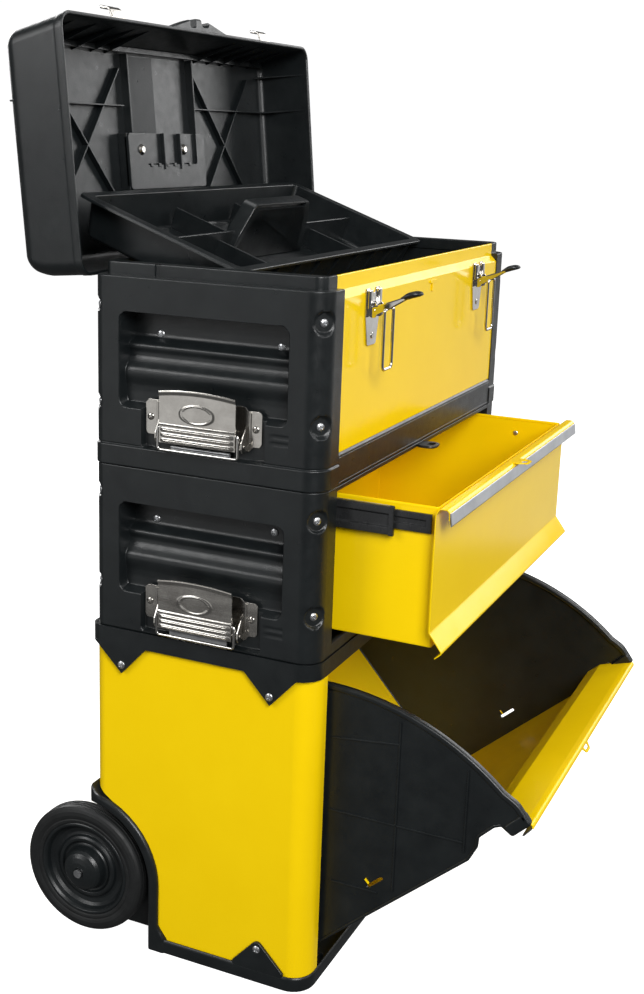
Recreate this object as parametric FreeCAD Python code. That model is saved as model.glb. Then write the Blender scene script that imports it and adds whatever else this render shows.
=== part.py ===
import FreeCAD, Part
import math
import os

# Rolling tool box: a tall base with a tilting bin and two wheels, a drawer unit on
# top of it, and a lidded top box with a tote tray.  Millimetres.  +X is to the
# right when facing the front, +Y is to the back, +Z is up.  The origin is on the
# ground under the middle of the cabinet.  The box is drawn in use: lid open, tray
# leaning on the rear rim, drawer part way out, bin tilted forward.

V = FreeCAD.Vector

# ---------------------------------------------------------------- driving sizes
HALF_W = 240.0            # half the width of the cabinet
HALF_D = 107.0            # half its depth
CASE_X = 206.0            # inner faces of the moulded ends
WALL_X = 238.8            # outer side face of the moulded ends
CORNER_R = 18.0
SEAT_TURN = 51.0          # corner screws face this far round from the side
SEAT_DEPTH = 3.4
TOP_SEATS = (594.0, 511.0)
MID_SEATS = (433.0, 351.0)
SHEET = 0.9               # painted steel sheet
MOULD_T = 2.0             # moulded panels
GAP = 0.4                 # running gap between stacked units

# Heights of the three units
DECK_Z = 306.0
BASE_TOP = 310.0
FRAME_LOW = 295.0
MID_LOW = BASE_TOP + GAP
MID_TOP = 457.6
TOP_LOW = MID_TOP + GAP
SKIRT_TOP = 476.0
LEDGE_Z = 618.9           # the lid sits on this ledge
RIM_Z = 629.5             # inner rim that the lid covers
RIM_Y = 100.2
TRAY_LEDGE_Z = 592.5      # inner ledge for the tote tray
TRAY_BAY_X = 218.0

# Base
PANEL_X = 236.2           # outer face of the yellow side panels
BACK_Y = 110.0            # outer face of the yellow back panel
WELL_OUT = 207.5          # wheel well wall, outer and inner faces
WELL_IN = 205.5
FRONT_RETURN_X = 210.0

# Wheels
WHEEL_R = 62.5
WHEEL_Y = 122.0
WHEEL_IN = 209.5          # inner end of the hub boss
TYRE_IN = 221.0
WHEEL_OUT = 240.0
AXLE_R = 4.0
AXLE_GAP = 0.06
ARCH_R = 70.0
ARCH_Z = 65.0

# Tilting bin, drawn closed and then tilted forward about its pins
BIN_PIVOT = (-100.0, 40.0)
BIN_OPEN = 48.4
BIN_SIDE_OUT = 203.6
BIN_SIDE_IN = 201.0
BIN_RIB_X = 204.6
BIN_BACK_Y = 84.0
PIN_R = 3.0
PIN_GAP = 0.08

# Drawer, drawn where it stands: pulled out by DRAWER_OUT
DRAWER_OUT = 87.0
DRAWER_Y = -105.0 - DRAWER_OUT
DRAWER_FRONT_X = 203.0
DRAWER_SIDE_X = 193.2
DRAWER_LOW = 328.0
DRAWER_TOP = 449.0
DRAWER_BACK_Y = 97.0 - DRAWER_OUT
RAIL_SHARE = 0.62         # middle rail travel per drawer travel
HASP_X = (-19.0, 3.0)

# Lid, drawn shut and then swung open about the hinge rod
HINGE = (110.0, 613.0)
LID_OPEN = 95.3
LID_LOW = 619.3
LID_TOP = 682.0
LID_WALL = 3.0
HINGE_R = 2.5
BARREL_R = 5.0
LID_GRIP_Z = LID_TOP + 7.5

# Tote tray: rim frame of the leaning tray
TRAY_FRONT = (-19.0, 627.0)
TRAY_TILT = 19.7
TRAY_LENGTH = 165.7
TRAY_DEPTH = 36.5
TRAY_RIM_X = 215.0
TRAY_BODY_X = 203.0
TRAY_WALL = 2.2

# Pull handle behind the cabinet
TUBE_X = 90.0
TUBE_Y = 121.0
TUBE_R = 6.0
SLEEVE_R = 8.0
GRIP_Z = 444.0

# Side latches: y range and heights on the top box; the drawer unit's are lower
LATCH_Y = (-33.0, 38.0)
LATCH_DROP = 163.5
LATCH_PIN = (-242.0, 489.0)
LATCH_BAIL = (-245.5, 498.0)
BAIL_LOW = 478.6
BAIL_R = 1.3

# Front latches
FRONT_LATCH_X = (-146.0, 140.0)
FRONT_PIN = (-112.0, 597.0)
FRONT_BAIL = (-122.0, 598.0)
FRONT_BAIL_LEN = 50.0


# -------------------------------------------------------------------- helpers
def block(x0, x1, y0, y1, z0, z1):
    """Box between two corners, given in any order."""
    low = V(min(x0, x1), min(y0, y1), min(z0, z1))
    return Part.makeBox(abs(x1 - x0), abs(y1 - y0), abs(z1 - z0), low)


def prism(points, axis, start, end):
    """Polygon drawn in the plane across an axis, pushed along that axis."""
    make = {"x": lambda p: V(start, p[0], p[1]),
            "y": lambda p: V(p[0], start, p[1]),
            "z": lambda p: V(p[0], p[1], start)}[axis]
    push = {"x": V(1, 0, 0), "y": V(0, 1, 0), "z": V(0, 0, 1)}[axis] * (end - start)
    corners = [make(p) for p in points]
    return Part.Face(Part.makePolygon(corners + corners[:1])).extrude(push)


def rod(a, b, radius):
    """Round bar between two points."""
    a, b = V(*a), V(*b)
    return Part.makeCylinder(radius, (b - a).Length, a, b - a)


def wire_frame(points, radius):
    """Bent round wire: bars along the runs with a ball at each corner."""
    shape = rod(points[0], points[1], radius)
    for a, b in zip(points[1:], points[2:]):
        shape = shape.fuse([Part.makeSphere(radius, V(*a)), rod(a, b, radius)])
    return shape.removeSplitter()


def arc(cx, cy, radius, start, end, steps=10):
    """Points along an arc, angles in degrees."""
    turn = (end - start) / steps
    angles = [math.radians(start + turn * i) for i in range(steps + 1)]
    return [(cx + radius * math.cos(a), cy + radius * math.sin(a)) for a in angles]


def ribbon(line, t):
    """Closed outline of a bent sheet: the line on one face, t thick to its left."""
    out = []
    for i, (x, y) in enumerate(line):
        ends = [line[max(i - 1, 0)], line[i], line[min(i + 1, len(line) - 1)]]
        normals = []
        for (x0, y0), (x1, y1) in zip(ends, ends[1:]):
            size = math.hypot(x1 - x0, y1 - y0)
            if size > 0:
                normals.append((-(y1 - y0) / size, (x1 - x0) / size))
        nx = sum(n[0] for n in normals)
        ny = sum(n[1] for n in normals)
        scale = t * len(normals) / (nx * nx + ny * ny)
        out.append((x + nx * scale, y + ny * scale))
    return list(line) + out[::-1]


def rounded_slab(x0, x1, y0, y1, z0, z1, radii):
    """Slab with rounded upright corners; radii maps a corner name to its radius."""
    slab = block(x0, x1, y0, y1, z0, z1)
    for corner, radius in radii.items():
        cx = x0 if "l" in corner else x1
        cy = y0 if "f" in corner else y1
        edges = [e for e in slab.Edges
                 if abs(e.BoundBox.XLength) < 1e-6 and abs(e.BoundBox.YLength) < 1e-6
                 and abs(e.BoundBox.XMin - cx) < 1e-6 and abs(e.BoundBox.YMin - cy) < 1e-6]
        slab = slab.makeFillet(radius, edges)
    return slab


def mirrored(shape):
    """The same piece on the other side of the box."""
    return shape.mirror(V(0, 0, 0), V(1, 0, 0))


def swung(shape, pivot, angle):
    """Turned about an X axis through (y, z); a positive angle tips the top forward."""
    turned = shape.copy()
    turned.rotate(V(0, pivot[0], pivot[1]), V(1, 0, 0), angle)
    return turned


def union(shapes):
    return shapes[0].fuse(shapes[1:]).removeSplitter()


def save(name, *shapes):
    """Write one node: a solid, or a group of separate solids."""
    solids = [s for shape in shapes for s in shape.Solids]
    shape = solids[0] if len(solids) == 1 else Part.makeCompound(solids)
    shape.exportStep("parts/" + name + ".step")


def save_pair(name, left, right_name=None):
    """A left piece and its mirror image as two nodes, or as one group."""
    if right_name is None:
        save(name, left, mirrored(left))
    else:
        save(name, left)
        save(right_name, mirrored(left))


# ----------------------------------------------------------------------- base
TAB_REAR = [(107.0, 296.0), (79.0, 268.5), (53.6, 296.0)]
TAB_FRONT = [(-41.0, 296.0), (-67.0, 268.5), (-92.0, 296.0)]
TAB_FOOT = [(-34.0, 14.0), (-60.0, 43.0), (-89.0, 14.0)]


def arch_void():
    """Space inside a wheel arch, seen from the side."""
    curve = arc(WHEEL_Y, ARCH_Z, ARCH_R, 98, 180, 12)
    return [(200.0, curve[0][1]), *curve, (52.0, -1.0), (200.0, -1.0)]


def arch_outline():
    """Edge where the yellow panel meets the wheel arch trim."""
    curve = arc(WHEEL_Y, ARCH_Z, 80.0, 105, 180, 10)
    return [(200.0, 153.0), (111.6, 153.0), *curve[1:], (42.5, 26.0), (33.0, 14.0), (33.0, -1.0),
            (200.0, -1.0)]


def base_side():
    """Left yellow panel: side, rounded front corner, short front return, rear corner."""
    low, high = 4.2, DECK_Z - 0.2
    outer = rounded_slab(-PANEL_X, 0, -HALF_D, BACK_Y, low, high, {"lf": 20.0, "lb": 12.0})
    inner = rounded_slab(-PANEL_X + SHEET, 0, -HALF_D + SHEET, BACK_Y - SHEET, low, high,
                         {"lf": 20.0 - SHEET, "lb": 12.0 - SHEET})
    shell = outer.cut(inner)
    shell = shell.cut(block(-FRONT_RETURN_X, 1, -HALF_D - 1, BACK_Y + 1, 0, high + 1))
    return shell.cut(prism(arch_outline(), "x", -HALF_W - 1, -FRONT_RETURN_X + 1))


def base_tray():
    """Moulded floor with a kerb, wheel arches, axle lugs and bin pivot ears."""
    kerb_high = 14.0
    outer = rounded_slab(-HALF_W + 0.4, HALF_W - 0.4, -HALF_D - 2.0, 110.0, 0, kerb_high,
                         {"lf": 22.0, "rf": 22.0})
    room = rounded_slab(-PANEL_X - 0.1, PANEL_X + 0.1, -HALF_D - 0.1, 120.0, 4.0, 20.0,
                        {"lf": 20.0, "rf": 20.0})
    floor = outer.cut(room)
    floor = floor.cut(block(-HALF_W - 1, -WELL_OUT, 52, 111, -1, 20))
    floor = floor.cut(block(WELL_OUT, HALF_W + 1, 52, 111, -1, 20))
    side = []
    lining = prism(arch_outline(), "x", -HALF_W, -WELL_IN)
    lining = lining.cut(prism(arch_void(), "x", -HALF_W - 1, -WELL_OUT))
    lining = lining.cut(block(-HALF_W - 1, 0, 112, 201, -2, 200)).cut(block(-300, 0, 0, 201, -2, 0))
    side.append(lining)
    side.append(prism(TAB_FOOT, "x", -HALF_W + 0.4, -PANEL_X - 0.1))
    ear = rounded_slab(-FRONT_RETURN_X + 0.3, -WELL_IN, -105, -84, 4, 56, {})
    side.append(ear.cut(rod((-212, *BIN_PIVOT), (-200, *BIN_PIVOT), PIN_R)))
    lug = prism([(108.0, 30.0), *arc(WHEEL_Y, WHEEL_R, 16.0, -90, 90, 12), (108.0, 100.0)], "x",
                -WELL_OUT, -190.0)
    side.append(lug)
    tray = union([floor, *side, *[mirrored(s) for s in side]])
    bore = rod((-HALF_W, WHEEL_Y, WHEEL_R), (HALF_W, WHEEL_Y, WHEEL_R), AXLE_R)
    tray = tray.cut(bore)
    # the back panel stands in a slot between the floor and the lugs
    return tray.cut(block(-FRONT_RETURN_X + 0.2, FRONT_RETURN_X - 0.2, BACK_Y - SHEET, BACK_Y, 4.2, 200))


def base_top_frame():
    """Deck with a hanging band and four pointed tabs screwed over the side panels."""
    radii = {"lf": 20.0, "rf": 20.0, "lb": 12.0, "rb": 12.0}
    deck = rounded_slab(-HALF_W, HALF_W, -HALF_D - 1, BACK_Y + 2, FRAME_LOW, BASE_TOP, radii)
    room = rounded_slab(-PANEL_X - 0.1, PANEL_X + 0.1, -HALF_D + 3, BACK_Y + 0.1, FRAME_LOW - 1,
                        DECK_Z, {"lf": 20.0, "rf": 20.0, "lb": 12.0, "rb": 12.0})
    corner = rounded_slab(-PANEL_X - 0.1, PANEL_X + 0.1, -HALF_D - 0.1, 0, FRAME_LOW - 1, DECK_Z,
                          {"lf": 20.0, "rf": 20.0})
    keep_rail = block(-FRONT_RETURN_X + 1, FRONT_RETURN_X - 1, -HALF_D - 0.2, -HALF_D + 4,
                      FRAME_LOW - 2, DECK_Z + 1)
    frame = deck.cut(room).cut(corner.cut(keep_rail))
    tabs = [prism(t, "x", -HALF_W, -PANEL_X - 0.1) for t in (TAB_REAR, TAB_FRONT)]
    frame = union([frame, *tabs, *[mirrored(t) for t in tabs]])
    return frame.cut(catch_tongue(FRAME_LOW - 1)).cut(mirrored(catch_tongue(FRAME_LOW - 1)))


def catch_tongue(low, high=0.0):
    """Steel tongue that a side latch's wire pulls on: a strip with a rolled top."""
    top = high if high else low + 22.0
    strip = block(-237.4, -236.2, -24, 32, low, top)
    bead = rod((-236.7, -24, top), (-236.7, 32, top), 1.3)
    return strip.fuse(bead)


def base_nodes():
    save("base_tray", base_tray())
    save_pair("base_side_left", base_side(), "base_side_right")
    back = block(-FRONT_RETURN_X, FRONT_RETURN_X, BACK_Y - SHEET, BACK_Y, 4.4, DECK_Z - 0.2)
    save("base_back", back.cut(block(-500, -WELL_OUT, 100, 120, 0, 153)).cut(
        block(WELL_OUT, 500, 100, 120, 0, 153)))
    save("base_top_frame", base_top_frame())
    save("wheel_axle", rod((-249, WHEEL_Y, WHEEL_R), (249, WHEEL_Y, WHEEL_R), AXLE_R))
    pin = rod((-FRONT_RETURN_X + 0.5, *BIN_PIVOT), (-199, *BIN_PIVOT), PIN_R)
    head = rod((-199, *BIN_PIVOT), (-197.4, *BIN_PIVOT), PIN_R + 1.5)
    save_pair("bin_pins", pin.fuse(head))
    spots = [(79.0, 276.5), (-66.5, 276.5), (-60.5, 34.0)]
    faces = [-HALF_W, -HALF_W, -HALF_W + 0.4]
    heads = [screw((x, y, z), (-1, 0, 0)) for (y, z), x in zip(spots, faces)]
    save_pair("base_screws", Part.makeCompound(heads))
    save_pair("base_catches", catch_tongue(FRAME_LOW + 1, 317.6))


def screw(face, out, radius=3.3):
    """Domed screw head standing on a face."""
    a, n = V(*face), V(*out)
    head = Part.makeCylinder(radius, 0.7, a, n)
    dome = Part.makeCone(radius, radius * 0.55, 1.2, a + n * 0.7, n)
    return head.fuse(dome).removeSplitter()


# --------------------------------------------------------------------- wheels
def spun(profile):
    """Outline of (x, radius) points turned about the axle line."""
    points = [V(x, WHEEL_Y, WHEEL_R + r) for x, r in profile]
    face = Part.Face(Part.makePolygon(points + points[:1]))
    return face.revolve(V(0, WHEEL_Y, WHEEL_R), V(1, 0, 0), 360)


def wheel_nodes():
    inner, outer = -TYRE_IN, -WHEEL_OUT
    rim = 46.0
    bore = AXLE_R + AXLE_GAP
    tyre = [(outer + 2, rim), (outer, rim + 3), (outer, WHEEL_R - 6), (outer + 3, WHEEL_R - 1.5),
            (outer + 7, WHEEL_R), (inner - 7, WHEEL_R), (inner - 3, WHEEL_R - 1.5),
            (inner, WHEEL_R - 6), (inner, rim + 3), (inner - 2, rim)]
    hub = [(outer + 2, rim), (outer + 2, rim - 4), (outer + 8, rim - 8), (outer + 7, 22),
           (outer + 1, 20), (outer - 3, 17), (outer - 6, 11), (outer - 7, bore), (-WHEEL_IN, bore),
           (-WHEEL_IN, 14), (outer + 14, 14), (outer + 14, rim - 8), (inner - 2, rim - 4),
           (inner - 2, rim)]
    save_pair("tyre_left", spun(tyre), "tyre_right")
    save_pair("wheel_hub_left", spun(hub), "wheel_hub_right")


# ---------------------------------------------------------------- pull handle
def handle_nodes():
    sleeve = rod((-TUBE_X, TUBE_Y, 80), (-TUBE_X, TUBE_Y, 292), SLEEVE_R)
    sleeve = sleeve.cut(rod((-TUBE_X, TUBE_Y, 50), (-TUBE_X, TUBE_Y, 300), TUBE_R + 0.1))
    saddles = []
    for z in (92.0, 262.0):
        saddle = block(-TUBE_X - 17, -TUBE_X + 17, BACK_Y, TUBE_Y + 1, z, z + 22)
        saddles.append(saddle.cut(rod((-TUBE_X, TUBE_Y, z - 1), (-TUBE_X, TUBE_Y, z + 23), SLEEVE_R)))
    save_pair("handle_sleeves", union([sleeve, *saddles]))
    tube = rod((-TUBE_X, TUBE_Y, 84), (-TUBE_X, TUBE_Y, GRIP_Z), TUBE_R)
    save_pair("handle_tubes", tube)
    bar = rod((-TUBE_X, TUBE_Y, GRIP_Z - 2), (TUBE_X, TUBE_Y, GRIP_Z - 2), 8.0)
    boss = rod((-TUBE_X, TUBE_Y, GRIP_Z - 18), (-TUBE_X, TUBE_Y, GRIP_Z + 8), 11.0)
    grip = union([bar, boss, mirrored(boss)])
    for x in (-TUBE_X, TUBE_X):
        grip = grip.cut(rod((x, TUBE_Y, GRIP_Z - 20), (x, TUBE_Y, GRIP_Z), TUBE_R))
    save("handle_grip", grip)


# ----------------------------------------------------------------- tilting bin
def bin_profile():
    """Side wall of the closed bin: notched finger grip in front, curved top."""
    crown = arc(*BIN_PIVOT, 244.0, 84.0, 39.5, 14)
    return [(-107.6, 16.2), (-107.6, 217.5), (-102.0, 231.0), (-95.3, 238.0), (-94.2, 256.0),
            (-96.2, 261.0), (-108.3, 264.1), (-107.2, 285.4), (-88.0, 287.0), *crown, (90.0, 192.0),
            (90.0, 24.0), (82.0, 16.2)]


def bin_nodes():
    plate = prism(bin_profile(), "x", -BIN_SIDE_OUT, -BIN_SIDE_IN)
    shoulder = bin_profile()[8:-2]
    rim = prism(ribbon(shoulder, -4.0), "x", -BIN_RIB_X, -BIN_SIDE_IN + 3)
    ribs = []
    for y in (-60.0, 5.0):
        ribs.append(block(-BIN_RIB_X, -BIN_SIDE_OUT + 0.2, y - 1, y + 1, 22, 250))
    ribs.append(block(-BIN_RIB_X, -BIN_SIDE_OUT + 0.2, -95, 84, 150, 152))
    side = union([plate, rim, *ribs])
    side = side.common(prism(bin_profile(), "x", -BIN_RIB_X - 1, -190))
    side = side.cut(rod((-220, *BIN_PIVOT), (-190, *BIN_PIVOT), PIN_R + PIN_GAP))
    save_pair("bin_side_left", swung(side, BIN_PIVOT, BIN_OPEN), "bin_side_right")

    half = BIN_SIDE_IN - 0.1
    line = [(BIN_BACK_Y, 44.0), (BIN_BACK_Y, 17.0), (-106.2, 17.0), (-106.2, 205.0), (-93.0, 236.0),
            (-93.0, 252.0), (-106.0, 279.5), (-108.2, 284.4), (-110.4, 284.4)]
    sheet = prism(ribbon(line, -SHEET), "x", -half, half)
    tab = block(*HASP_X, -121, -103.5, 276.0, 277.4).cut(
        block(HASP_X[0] + 5, HASP_X[1] - 5, -118.4, -113.4, 270, 280))
    save("bin_sheet", swung(sheet.fuse(tab).removeSplitter(), BIN_PIVOT, BIN_OPEN))
    strip = [(-108.9, 283.2), (-111.0, 283.2), (-113.0, 271.0), (-111.8, 271.0), (-110.2, 282.0),
             (-108.9, 282.0)]
    rail = prism(strip, "x", -half, half).cut(
        block(HASP_X[0] - 1, HASP_X[1] + 1, -130, -100, 275, 278.6))
    save("bin_handle_strip", swung(rail, BIN_PIVOT, BIN_OPEN))


# --------------------------------------------------------- moulded unit ends
def side_pocket(z_low):
    """Hand recess with two swells, and the shallow latch bay below it.

    z_low is the height where the latch bay starts; the profile is (x, z)."""
    z = z_low
    recess = [(-245.0, z + 114), (-214.5, z + 114), (-215.0, z + 89), (-220.5, z + 87.5),
              (-226.0, z + 85), (-226.0, z + 79), (-222.5, z + 72), (-224.0, z + 67),
              (-231.5, z + 62), (-232.5, z + 56), (-229.0, z + 46), (-229.0, z + 33),
              (-245.0, z + 33)]
    bay = block(-245, -233, -56, 60, z, z + 35)
    return prism(recess, "y", -75, 82).fuse(bay)


def end_core(z_low, z_high):
    """Left moulded end: rounded outside, post hollows open downward."""
    body = rounded_slab(-WALL_X, -CASE_X, -HALF_D, HALF_D, z_low, z_high,
                        {"lf": CORNER_R, "lb": 10.0})
    hollow = rounded_slab(-WALL_X + 6.0, -CASE_X - 2.5, -HALF_D + 6.0, HALF_D - 6.0, z_low - 1,
                          z_high - 14, {"lf": CORNER_R - 6.0, "lb": 4.0})
    return body.cut(hollow.cut(block(-HALF_W, 0, -78.5, 85.5, z_low - 2, z_high)))


def corner_spot(z, out):
    """Point on the line a corner screw faces along, and that line's direction."""
    turn = math.radians(SEAT_TURN)
    facing = V(-math.cos(turn), -math.sin(turn), 0)
    return V(-WALL_X + CORNER_R, -HALF_D + CORNER_R, z) + facing * out, facing


def corner_seats(z_values):
    """Round seats for the corner screws, sunk into the rounded front corner."""
    seats = []
    for z in z_values:
        start, facing = corner_spot(z, CORNER_R - SEAT_DEPTH)
        seats.append(Part.makeCylinder(9.5, 12.0, start, facing))
    return seats


def corner_heads(z_values):
    return [screw(*corner_spot(z, CORNER_R - SEAT_DEPTH)) for z in z_values]


def mid_end():
    end = end_core(MID_LOW, MID_TOP).cut(side_pocket(MID_LOW + 2.2))
    end = end.cut(corner_seats(MID_SEATS))
    end = end.cut(block(-238.3, -234.9, -25, 33, MID_LOW - 1, MID_LOW + 4))
    return end.cut(catch_tongue(MID_TOP - 14))


def top_end():
    end = end_core(TOP_LOW, LEDGE_Z)
    skirt = rounded_slab(-HALF_W, -CASE_X, -HALF_D - 1, HALF_D + 1, TOP_LOW, SKIRT_TOP,
                         {"lf": CORNER_R + 1, "lb": 11.0})
    hollow = rounded_slab(-WALL_X, -CASE_X, -HALF_D, HALF_D, TOP_LOW - 1, SKIRT_TOP + 1,
                          {"lf": CORNER_R, "lb": 10.0})
    rim = rounded_slab(-230.5, -CASE_X, -RIM_Y, RIM_Y, LEDGE_Z - 1, RIM_Z, {"lf": 10.0, "lb": 6.0})
    end = union([end, skirt.cut(hollow), rim])
    end = end.cut(side_pocket(SKIRT_TOP))
    end = end.cut(corner_seats(TOP_SEATS))
    end = end.cut(block(-TRAY_BAY_X, 0, -97, 97, TRAY_LEDGE_Z, RIM_Z + 1))
    return end.cut(block(-238.3, -234.9, -25, 33, TOP_LOW - 1, SKIRT_TOP + 2))


def mid_nodes():
    save_pair("mid_end_left", mid_end(), "mid_end_right")
    half = CASE_X - 0.1
    floor = block(-half, half, -103.5, 106, MID_LOW + 0.4, MID_LOW + 0.4 + MOULD_T)
    back = block(-half, half, 106 - MOULD_T, 106, MID_LOW + 0.4, MID_TOP - 0.4)
    roof = block(-half, half, -106, 106, MID_TOP - 0.4 - MOULD_T, MID_TOP - 0.4)
    sill = block(-half, half, -107, -103.5, MID_LOW, 321.5)
    lintel = block(-half, half, -107, -105, 453.4, MID_TOP - 0.4)
    loop = block(*HASP_X, -125, -105, 454.0, 456.0).cut(
        block(HASP_X[0] + 5, HASP_X[1] - 5, -122.5, -115, 450, 460))
    save("mid_case", union([floor, back, roof, sill, lintel, loop]))

    save_pair("fixed_rails", block(-205.8, -201.2, -101, 100, 419.0, 448.0).cut(
        block(-203.9, -200, -102, 101, 420.6, 446.4)))
    heads = [screw((-215.0, y, z), (-1, 0, 0)) for y, z in ((58.0, 408.0), (-55.5, 413.0))]
    save_pair("mid_screws", Part.makeCompound(heads + corner_heads(MID_SEATS)))
    save_pair("mid_catches", catch_tongue(MID_TOP - 14, 479.8))


# --------------------------------------------------------------------- drawer
def drawer_nodes():
    y, back, side = DRAWER_Y, DRAWER_BACK_Y, DRAWER_SIDE_X
    tub = block(-side, side, y + SHEET + 0.1, back, DRAWER_LOW, DRAWER_TOP)
    room = block(-side + SHEET, side - SHEET, y, back - SHEET, DRAWER_LOW + SHEET, DRAWER_TOP + 1)
    save("drawer_box", tub.cut(room))
    line = [(y - 6.0, 323.5), (y - 12.0, 329.0), (y, 345.0), (y, 443.5), (y - 3.0, 450.0),
            (y - 10.4, 450.0)]
    front = prism(ribbon(line, -SHEET), "x", -DRAWER_FRONT_X, DRAWER_FRONT_X)
    tab = block(*HASP_X, y - 22.5, y - 3, 450.0, 451.2).cut(
        block(HASP_X[0] + 5, HASP_X[1] - 5, y - 20, y - 14.3, 440, 460))
    save("drawer_front", front.fuse(tab).removeSplitter())
    strip = [(y - 10.6, 446.8), (y - 10.6, 448.6), (y - 12.4, 448.4), (y - 14.0, 436.5),
             (y - 12.8, 436.5), (y - 11.6, 446.8)]
    save("drawer_handle_strip", prism(strip, "x", -DRAWER_FRONT_X, DRAWER_FRONT_X))
    save_pair("drawer_rails", block(-196.2, -193.4, y + 6, back - 4, 426.0, 443.0))
    front_y = -101.0 - RAIL_SHARE * DRAWER_OUT
    middle = block(-200.6, -196.6, front_y, front_y + 190, 421.0, 446.0)
    middle = middle.cut(block(-198.6, -196, front_y - 1, front_y + 191, 424.0, 443.8))
    save_pair("middle_rail_left", middle, "middle_rail_right")


# -------------------------------------------------------------------- top box
def top_nodes():
    save_pair("top_end_left", top_end(), "top_end_right")
    half = CASE_X - 0.1
    floor = block(-half, half, -104, 104, TOP_LOW, TOP_LOW + MOULD_T)
    front_rail = block(-half, half, -107, -103.8, TOP_LOW, 485.5)
    back_rail = block(-half, half, 103.8, 107, TOP_LOW, 485.5)
    save("top_floor", union([floor, front_rail, back_rail]))
    line = [(-106.0, 485.7), (-106.0, 611.0), (-RIM_Y, 617.0), (-RIM_Y, RIM_Z)]
    save("top_front_panel", prism(ribbon(line, -SHEET), "x", -half, half))
    line = [(105.1, 485.7), (105.1, 600.0), (RIM_Y - SHEET, 606.0), (RIM_Y - SHEET, RIM_Z)]
    back = prism(ribbon(line, -SHEET), "x", -half, half)
    knuckles = []
    for x in (-134.0, 134.0):
        leaf = block(x - 14, x + 14, 106.0, 108.0, 575, 613)
        barrel = rod((x - 14, *HINGE), (x + 14, *HINGE), BARREL_R)
        knuckles.append(leaf.fuse(barrel).cut(rod((x - 20, *HINGE), (x + 20, *HINGE), HINGE_R)))
    save("top_back_panel", back)
    save("lid_hinge", *knuckles, rod((-196, *HINGE), (196, *HINGE), HINGE_R))
    heads = [screw((-215.0, y, z), (-1, 0, 0)) for y, z in ((55.0, 570.0), (-57.5, 569.0))]
    save_pair("top_screws", Part.makeCompound(heads + corner_heads(TOP_SEATS)))


# --------------------------------------------------------------- side latches
def latch_plate():
    """Base plate with two wings, cheeks for the lever's pin, and the pin."""
    y0, y1 = LATCH_Y
    wings = block(-234.4, -233.0, -51, 58, 488, 518)
    cheeks = [block(-245.4, -233.2, y, y + 1.6, 483, 505) for y in (y0 - 5.4, y1 + 3.8)]
    px, pz = LATCH_PIN
    pin = rod((px, y0 - 5.4, pz), (px, y1 + 5.4, pz), 1.5)
    heads = [screw((-234.4, y, 503), (-1, 0, 0), 2.6) for y in (-45.5, 53.0)]
    return union([wings, *cheeks, pin, *heads])


def latch_lever():
    """Pressed lever: arched plate, oval panel, finger ribs and two pin ears."""
    y0, y1 = LATCH_Y
    mid, half = (y0 + y1) / 2, (y1 - y0) / 2
    arch = arc(mid, 531.0 - 120.0, 120.0, 90 - 17.1, 90 + 17.1, 8)
    face = prism([(y0, 485.0), *reversed(arch), (y1, 485.0)], "x", -248.0, -246.4)
    ears = [block(-246.6, -240.2, y, y + 1.2, 486.5, 503.0) for y in (y0, y1 - 1.2)]
    ribs = [block(-249.4, -247.8, y0 + 2, y1 - 2, z, z + 2.0) for z in (486.5, 491.0, 495.5)]
    oval = Part.Ellipse(V(-248.6, mid, 511.0), 17.0, 8.5)
    oval.Axis = V(1, 0, 0)
    oval.XAxis = V(0, 1, 0)
    badge = Part.Face(Part.Wire(oval.toShape())).extrude(V(0.8, 0, 0))
    lip = block(-246.6, -244.6, mid - half * 0.8, mid + half * 0.8, 523.0, 524.2)
    lever = union([face, *ears, *ribs, badge, lip])
    px, pz = LATCH_PIN
    bx, bz = LATCH_BAIL
    lever = lever.cut(rod((px, y0 - 9, pz), (px, y1 + 9, pz), 1.56))
    return lever.cut(rod((bx, y0 - 9, bz), (bx, y1 + 9, bz), BAIL_R + 0.06))


def latch_bail():
    """Wire loop hooked into the lever's ears."""
    y0, y1 = LATCH_Y[0] - 1.8, LATCH_Y[1] + 1.8
    bx, bz = LATCH_BAIL
    return wire_frame([(bx, y0 + 4.4, bz), (bx, y0, bz), (bx, y0, BAIL_LOW), (bx, y1, BAIL_LOW),
                       (bx, y1, bz), (bx, y1 - 4.4, bz)], BAIL_R)


def side_latch_nodes():
    for unit, drop in (("top", 0.0), ("mid", LATCH_DROP)):
        down = V(0, 0, -drop)
        plate, lever, bail = [s.translated(down) for s in (latch_plate(), latch_lever(), latch_bail())]
        save_pair(unit + "_latch_plates", plate)
        save_pair(unit + "_lever_left", lever, unit + "_lever_right")
        save_pair(unit + "_bail_left", bail, unit + "_bail_right")


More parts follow.
